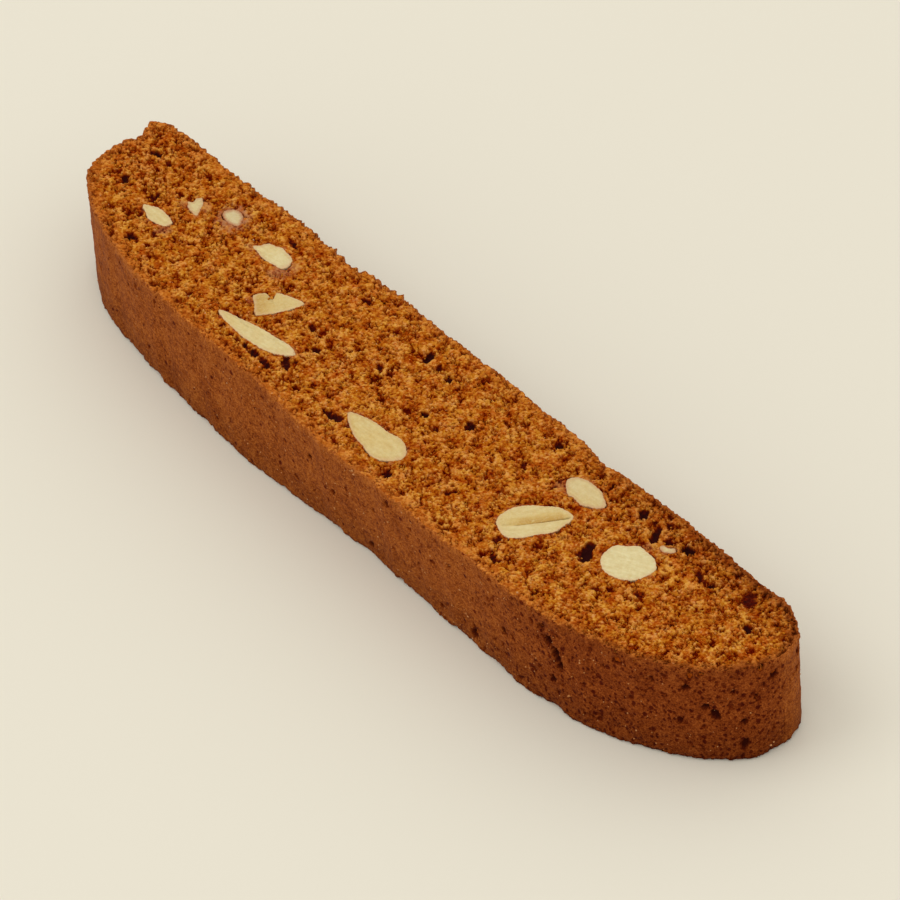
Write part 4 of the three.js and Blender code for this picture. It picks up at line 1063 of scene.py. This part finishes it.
def almond_piece(name, seed):
    """A cut almond: flat knife-cut face, thin browned skin at its edge, rounded body going into the crumb."""
    if name in ALMONDS or name in CHIPS:
        blo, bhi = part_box(name)
        up = bhi[2] / MM > THICK / 2
        face, deep = (bhi[2] / MM, (bhi[2] - blo[2]) / MM) if up else (blo[2] / MM, (bhi[2] - blo[2]) / MM)
        loop = section(name, 128)
    else:
        up, face, deep = True, THICK, 1.2
        loop = chip_loop(CHIP_11, 96)
    n = len(loop)
    rng = np.random.default_rng(seed)
    nrm = normals(loop)
    area = 0.5 * np.sum(loop[:, 0] * np.roll(loop[:, 1], -1) - np.roll(loop[:, 0], -1) * loop[:, 1])
    if area < 0:
        loop, nrm = loop[::-1].copy(), -nrm[::-1].copy()
    per = np.hypot(*(np.roll(loop, -1, 0) - loop).T).sum()
    wob = np.zeros(n)
    for wl, am in ((1.6, 0.020), (0.9, 0.030), (0.5, 0.022)):
        wob += am * np.sin(2 * np.pi * max(2, round(per / wl * rng.uniform(0.85, 1.2))) * np.arange(n) / n + rng.uniform(0, 6.28))
    loop = loop + nrm * (wob * min(1.0, per / 14))[:, None]
    mid = loop.mean(0)
    fat = 2 * abs(area) / per                     # about half its width
    sgn = -1 if up else 1
    V, edge, split_shade, band, rings = [[mid[0], mid[1], 0.07]], [fat], [0.0], [0.0], []
    a = ALMONDS.get(name)
    prof = [(f, 0.0) for f in np.linspace(0.06, 0.93, 30 if name == "almond_09" else 16)]
    prof += [(0.96, 0.01), (0.982, 0.035), (0.995, 0.09), (1.0, 0.17)]
    for f, d in prof:
        rings.append(len(V))
        p = mid + (loop - mid) * f
        ripple = 0.016 * np.sin(p[:, 0] * 2.3 + seed) * np.cos(p[:, 1] * 2.9 + 2 * seed) + 0.012 * np.sin(p[:, 0] * 5.7 + p[:, 1] * 4.1)
        dz = d + 0.075 + ripple
        sp = np.zeros(n)
        gb = np.zeros(n)
        if name == "almond_09":                   # the gap between the two halves of the almond; its dark line is partly the almond's own, partly painted shade of the groove
            c, s = math.cos(math.radians(a["turn"])), math.sin(math.radians(a["turn"]))
            u, v = (p[:, 0] - a["x"]) * c + (p[:, 1] - a["y"]) * s, -(p[:, 0] - a["x"]) * s + (p[:, 1] - a["y"]) * c
            line = v + 0.38 - 0.0033 * (u + 3.0) ** 2
            wide = 0.10 + 0.05 * smooth(-1.0, 3.5, u)
            sp = np.exp(-(line / wide) ** 2) * smooth(-3.7, -2.6, u) * smooth(5.6, 4.9, u) * (0.55 + 0.45 * smooth(-1.5, 2.0, u))
            sp = np.maximum(sp, 0.35 * np.exp(-((v + 0.04) / 0.11) ** 2) * smooth(-5.3, -4.8, u) * smooth(-3.2, -3.8, u))
            above = smooth(-0.05, 0.12, line) * smooth(1.9, 0.2, line) * smooth(-4.6, -1.5, u) * smooth(5.2, 3.6, u)
            gb = 1.45 * above + 0.35 * smooth(-0.2, 0.1, line) + 0.30 * smooth(-3.0, 4.0, u) * smooth(0.3, -0.3, line)
            dz = dz + 0.30 * sp + 0.22 * smooth(1.6, 0.0, line) * smooth(-0.05, 0.1, line) * smooth(-4, 0, u) * smooth(5.2, 3.0, u)
        if name == "almond_05":                   # tan where it is broken, at its lower left
            gb = 1.15 * smooth(-18.5, -22.6, 0.61 * p[:, 0] + 0.79 * p[:, 1]) + 0.25
        if name == "almond_07":
            gb = 0.30 * smooth(0.35, 0.0, (1 - f) * np.ones(n)) * smooth(3, -3, p[:, 0])
        if name in ("almond_04", "almond_06"):    # deeper in colour towards the left end
            gb = (0.45 if name == "almond_04" else 0.35) * smooth(0.15, -0.35, (p[:, 0] - a["x"]) / a["len"])
        if name == "almond_08":
            gb = 0.30 * smooth(0.5, -2.0, p[:, 1] - a["y"])
        V += np.c_[p, dz].tolist()
        edge += ((1 - f) * fat * np.ones(n)).tolist()
        split_shade += sp.tolist()
        band += gb.tolist()
    for t in np.linspace(0.12, 1.0, 9):
        ang = t * math.pi / 2
        f = max(0.16, math.cos(ang) ** 0.75)
        rings.append(len(V))
        V += np.c_[mid + (loop - mid) * f, np.full(n, 0.245 + (deep - 0.26) * math.sin(ang))].tolist()
        edge += [-0.5] * n
        split_shade += [0.0] * n
        band += [0.0] * n
    V = np.array(V)
    V[:, 2] = face + sgn * np.clip(V[:, 2], 0.0, None)
    k = np.arange(n)
    faces = [np.stack([np.zeros(n, int), rings[0] + k, rings[0] + (k + 1) % n], 1)]
    for r0, r1 in zip(rings[:-1], rings[1:]):
        faces.append(np.stack([r0 + k, r1 + k, r1 + (k + 1) % n, r0 + (k + 1) % n], 1))
    faces.append(rings[-1] + k)
    edge = np.array(edge)
    gold = GOLD.get(name, float(rng.uniform(0.15, 0.6)))
    gold = np.clip(gold + np.array(band), 0, 2)
    at = math.radians(a["turn"]) if a else 0.9
    du, dv = V[:, 0] * math.cos(at) + V[:, 1] * math.sin(at), -V[:, 0] * math.sin(at) + V[:, 1] * math.cos(at)
    attrs = dict(edge=edge, split_shade=split_shade, gold=gold, pink=np.full(len(V), PINK.get(name, 0.12)), dull=np.full(len(V), DULL.get(name, 0.0)),
                 along=du * MM, across=dv * MM)
    ob = make_mesh(name + "_cut", V, faces, NUT, attrs)
    orient(ob)
    if name in ALMONDS or name in CHIPS:
        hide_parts(name)
    return ob


for i, nm in enumerate([*UPPER, *LOWER, "almond_11"]):
    almond_piece(nm, 500 + i)


# ------------------------------------------------------------------ loose crumbs and light specks
def pebble(rng, size, flat=0.75):
    """A small angular grain: points and triangles of a knocked-about ball."""
    pts, tri = [], []
    rows, cols = 4, 6
    pts.append((0, 0, 1.0))
    for r in range(1, rows):
        t = math.pi * r / rows
        for c in range(cols):
            p = 2 * math.pi * (c + 0.5 * (r % 2)) / cols
            pts.append((math.sin(t) * math.cos(p), math.sin(t) * math.sin(p), math.cos(t)))
    pts.append((0, 0, -1.0))
    for c in range(cols):
        tri.append((0, 1 + c, 1 + (c + 1) % cols))
        last = 1 + (rows - 2) * cols
        tri.append((len(pts) - 1, last + (c + 1) % cols, last + c))
    for r in range(rows - 2):
        for c in range(cols):
            a_, b_ = 1 + r * cols + c, 1 + r * cols + (c + 1) % cols
            tri += [(a_, a_ + cols, b_), (b_, a_ + cols, b_ + cols)]
    pts = np.array(pts) * rng.uniform(0.72, 1.15, (len(pts), 1))
    pts *= size / 2 * np.array([1, rng.uniform(0.6, 1), flat])
    t = rng.uniform(0, 2 * math.pi)
    c, s = math.cos(t), math.sin(t)
    pts = np.c_[pts[:, 0] * c - pts[:, 1] * s, pts[:, 0] * s + pts[:, 1] * c, pts[:, 2]]
    return pts, np.array(tri)


def grains(name, places, material, attrs_of, seed):
    rng = np.random.default_rng(seed)
    V, F, A, n = [], [], {}, 0
    for x, y, z, size in places:
        p, t = pebble(rng, size)
        V.append(p + (x, y, z))
        F.append(t + n)
        n += len(p)
        for key, val in attrs_of(rng).items():
            A.setdefault(key, []).append(np.full(len(p), val))
    return make_mesh(name, np.vstack(V), [np.vstack(F)], material, {k_: np.concatenate(v) for k_, v in A.items()})


def on_face(x, y, info, up):
    i = np.clip(((x - info["x0"]) / info["step"]).round().astype(int), 0, info["depth"].shape[0] - 1)
    j = np.clip(((y - info["y0"]) / info["step"]).round().astype(int), 0, info["depth"].shape[1] - 1)
    d = info["depth"][i, j]
    return (THICK - d if up else d), info["inset"][i, j], info["near"][i, j], d


places = []
rng = np.random.default_rng(77)
for info, up, n in ((TOP, True, 1500), (LOW, False, 500)):
    x, y = rng.uniform(-74, 74, n), rng.uniform(-14, 14, n)
    z, ins_, near_, d = on_face(x, y, info, up)
    ok = (ins_ > 0.4) & (near_ > 0.12) & (d < 1.2)
    size = 0.22 + 0.35 * rng.random(n) ** 2.5
    lift = (0.02 + 0.10 * rng.random(n)) * (1 if up else -1)
    zz = z + lift
    zz = np.minimum(zz, THICK - size * 0.375) if up else np.maximum(zz, size * 0.45)
    places += np.c_[x, y, zz, size][ok].tolist()
places += [(-32.95, -0.40, THICK - 0.10, 0.62), (-32.80, 0.0, THICK - 0.10, 0.70), (-33.0, 0.42, THICK - 0.14, 0.70), (-33.3, 0.80, THICK - 0.2, 0.6)]
grains("loose_crumbs", places, CRUMB, lambda r: dict(painted_light_tone=float(r.uniform(0.45, 0.9)), tone=float(r.uniform(0.1, 1.0)), rim=0.0, pale=0.0, burnt=0.0, pore_shade=0.0), 78)

# light specks on the crumb, partly sugar and crumb, partly painted glints: x, y, size
SPECKS_TOP = [(-44.4, 6.2, 0.55), (-45.3, 6.9, 0.4), (-43.9, 7.0, 0.35), (-37.5, -9.2, 0.45), (-56.0, 6.9, 0.35), (-53.0, 7.9, 0.3),
              (20.0, -9.8, 0.35), (46.0, -9.0, 0.35), (55.8, -4.0, 0.3), (12.4, -12.0, 0.35), (3.4, 3.6, 0.3), (-12.0, 5.2, 0.3),
              (38.5, -13.2, 0.5), (47.6, -3.5, 0.3), (23.6, 0.6, 0.4), (34.0, -1.0, 0.3), (45.8, 6.4, 0.3)]
places = []
sx = np.array([s_[0] for s_ in SPECKS_TOP])
sy = np.array([s_[1] for s_ in SPECKS_TOP])
z, _, _, _ = on_face(sx, sy, TOP, True)
places += [(x, y, min(zk, THICK - 0.2), sz) for (x, y, sz), zk in zip(SPECKS_TOP, z)]
n = 150
x, y = rng.uniform(-73, 73, n), rng.uniform(-13.6, 13.6, n)
z, ins_, near_, d = on_face(x, y, TOP, True)
ok = (ins_ > 0.3) & (near_ > 0.15) & (d < 0.6)
places += [(a_, b_, min(c_, THICK - 0.15), s_) for a_, b_, c_, s_ in np.c_[x, y, z, rng.uniform(0.13, 0.24, n)][ok]]
x, y = rng.uniform(-73, 73, 60), rng.uniform(-13.6, 13.6, 60)
z, ins_, near_, d = on_face(x, y, LOW, False)
ok = (ins_ > 0.3) & (near_ > 0.15) & (d < 0.6)
places += [(a_, b_, max(c_, 0.12), s_) for a_, b_, c_, s_ in np.c_[x, y, z, rng.uniform(0.13, 0.24, 60)][ok]]
# and on the crust: s, z, size
WALL_SPECKS = [(283.4, 15.6, 0.3), (245.1, 12.9, 0.5), (245.1, 12.4, 0.45), (246.8, 19.5, 0.5), (247.2, 18.8, 0.45), (246.4, 19.0, 0.35),
               (299.5, 18.5, 0.35), (295.3, 14.5, 0.4), (295.4, 14.0, 0.35), (296.1, 12.4, 0.35), (293.0, 5.1, 0.5), (292.6, 4.8, 0.4),
               (304.5, 4.0, 0.35), (303.9, 1.7, 0.35), (315.8, 2.5, 0.3), (325.0, 1.8, 0.5), (325.5, 2.2, 0.4), (284.2, 5.4, 0.35),
               (270.8, 6.3, 0.45), (271.0, 5.8, 0.4), (290.5, 11.3, 0.3), (275.3, 17.2, 0.35), (275.8, 16.9, 0.35), (305.0, 17.8, 0.3),
               (244.8, 18.0, 0.35), (240.7, 5.9, 0.4), (240.5, 5.5, 0.3), (239.8, 11.0, 0.35), (236.0, 4.4, 0.3), (254.4, 14.0, 0.4),
               (261.4, 8.6, 0.4), (261.9, 8.5, 0.4), (260.1, 18.3, 0.4), (258.2, 19.3, 0.4), (250.4, 6.8, 0.35), (263.8, 13.8, 0.3),
               (267.6, 1.8, 0.4), (221.5, 15.8, 0.4), (222.1, 15.0, 0.45), (222.4, 13.6, 0.35), (223.0, 4.6, 0.3), (269.9, 11.1, 0.4),
               (265.7, 3.3, 0.3), (241.3, 10.4, 0.25), (241.0, 3.2, 0.3), (262.9, 5.5, 0.3), (257.6, 5.0, 0.3), (259.4, 12.5, 0.35),
               (241.5, 7.9, 0.25), (248.3, 16.1, 0.25), (210.5, 11.3, 0.35), (215.8, 14.1, 0.35), (219.3, 14.1, 0.35), (221.4, 6.3, 0.25),
               (220.5, 4.6, 0.4), (212.2, 4.3, 0.3), (193.0, 19.0, 0.3), (307.0, 4.3, 0.3), (322.2, 10.4, 0.4)]
on_top = len(places)
ws_, wz_, wd_ = (list(v) for v in zip(*WALL_SPECKS))
for _ in range(420):
    s0 = rng.uniform(0, PERIMETER)
    if rng.random() < 0.15 + 0.85 * float(smooth(205, 232, s0)) * float(smooth(330, 300, s0)):
        ws_.append(s0)
        wz_.append(0.5 + 18.5 * rng.random() ** 1.2)
        wd_.append(rng.uniform(0.15, 0.32))
for s_, z_, d_ in zip(ws_, wz_, wd_):
    i = int(s_ / WALL["ds"]) % WALL["ns"]
    r_ = WALL["relief"][i, int((z_ - WALL["gz"][0]) / WALL["step"])] - float(lean(np.array([s_]), z_)[0])
    p = WALL["loop"][i] + WALL["nrm"][i] * (r_ + 0.02)
    places.append((p[0], p[1], z_, d_))
tones = iter(np.r_[rng.uniform(0.35, 1.0, on_top), rng.uniform(0.0, 0.60, len(places) - on_top)].tolist())
# pale grains, partly sugar and crumb, partly painted glints
specks = grains("pale_specks_and_glints", places, SPECK, lambda r: dict(tone=next(tones)), 79)

# ------------------------------------------------------------------ floor, light, camera
floor_m = Nodes("floor")
floor_m.bsdf.inputs["Base Color"].default_value = (0.762, 0.717, 0.602, 1)
floor_m.bsdf.inputs["Roughness"].default_value = 0.9
floor_m.bsdf.inputs["Specular IOR Level"].default_value = 0.1
bpy.ops.mesh.primitive_plane_add(size=6.0, location=(0, 0, 0))
floor = bpy.context.object
floor.name = "floor"
floor.data.materials.append(floor_m.mat)


def area_light(name, where, size, power, color=(1, 1, 1)):
    d = bpy.data.lights.new(name, "AREA")
    d.shape, d.size, d.energy, d.color = "DISK", size, power, color
    o = bpy.data.objects.new(name, d)
    o.location = where
    o.rotation_euler = (Vector((0, 0, 0.01)) - Vector(where)).to_track_quat("-Z", "Y").to_euler()
    bpy.context.scene.collection.objects.link(o)


area_light("key", (-0.60, -0.70, 1.50), 1.1, 5.2, (0.985, 1.0, 1.03))
area_light("fill", (0.9, -0.2, 1.2), 1.2, 1.0)
world = bpy.data.worlds.new("studio")
bpy.context.scene.world = world
world.use_nodes = True
world.node_tree.nodes["Background"].inputs[0].default_value = (1.0, 0.99, 0.96, 1)
world.node_tree.nodes["Background"].inputs[1].default_value = 0.925

AZ, EL, ROLL, PIX = math.radians(52.35), math.radians(47.0), math.radians(-5.0), 6.684
back = Vector((math.sin(AZ) * math.cos(EL), -math.cos(AZ) * math.cos(EL), math.sin(EL)))
right = Vector((math.cos(AZ), math.sin(AZ), 0))
upv = back.cross(right)
cam_right = right * math.cos(ROLL) + upv * math.sin(ROLL)
cam_up = upv * math.cos(ROLL) - right * math.sin(ROLL)
cam_data = bpy.data.cameras.new("camera")
cam_data.lens, cam_data.sensor_width = 360.0, 36.0
cam_data.clip_start, cam_data.clip_end = 0.05, 50
cam = bpy.data.objects.new("camera", cam_data)
bpy.context.scene.collection.objects.link(cam)
target = Vector((10.33 - 0.24, -1.33 - 0.10, THICK)) * MM
cam.matrix_world = Matrix((cam_right, cam_up, back)).transposed().to_4x4()
cam.location = target + back * (9000 / PIX * MM)
bpy.context.scene.camera = cam
bpy.context.scene.view_settings.view_transform = "Standard"
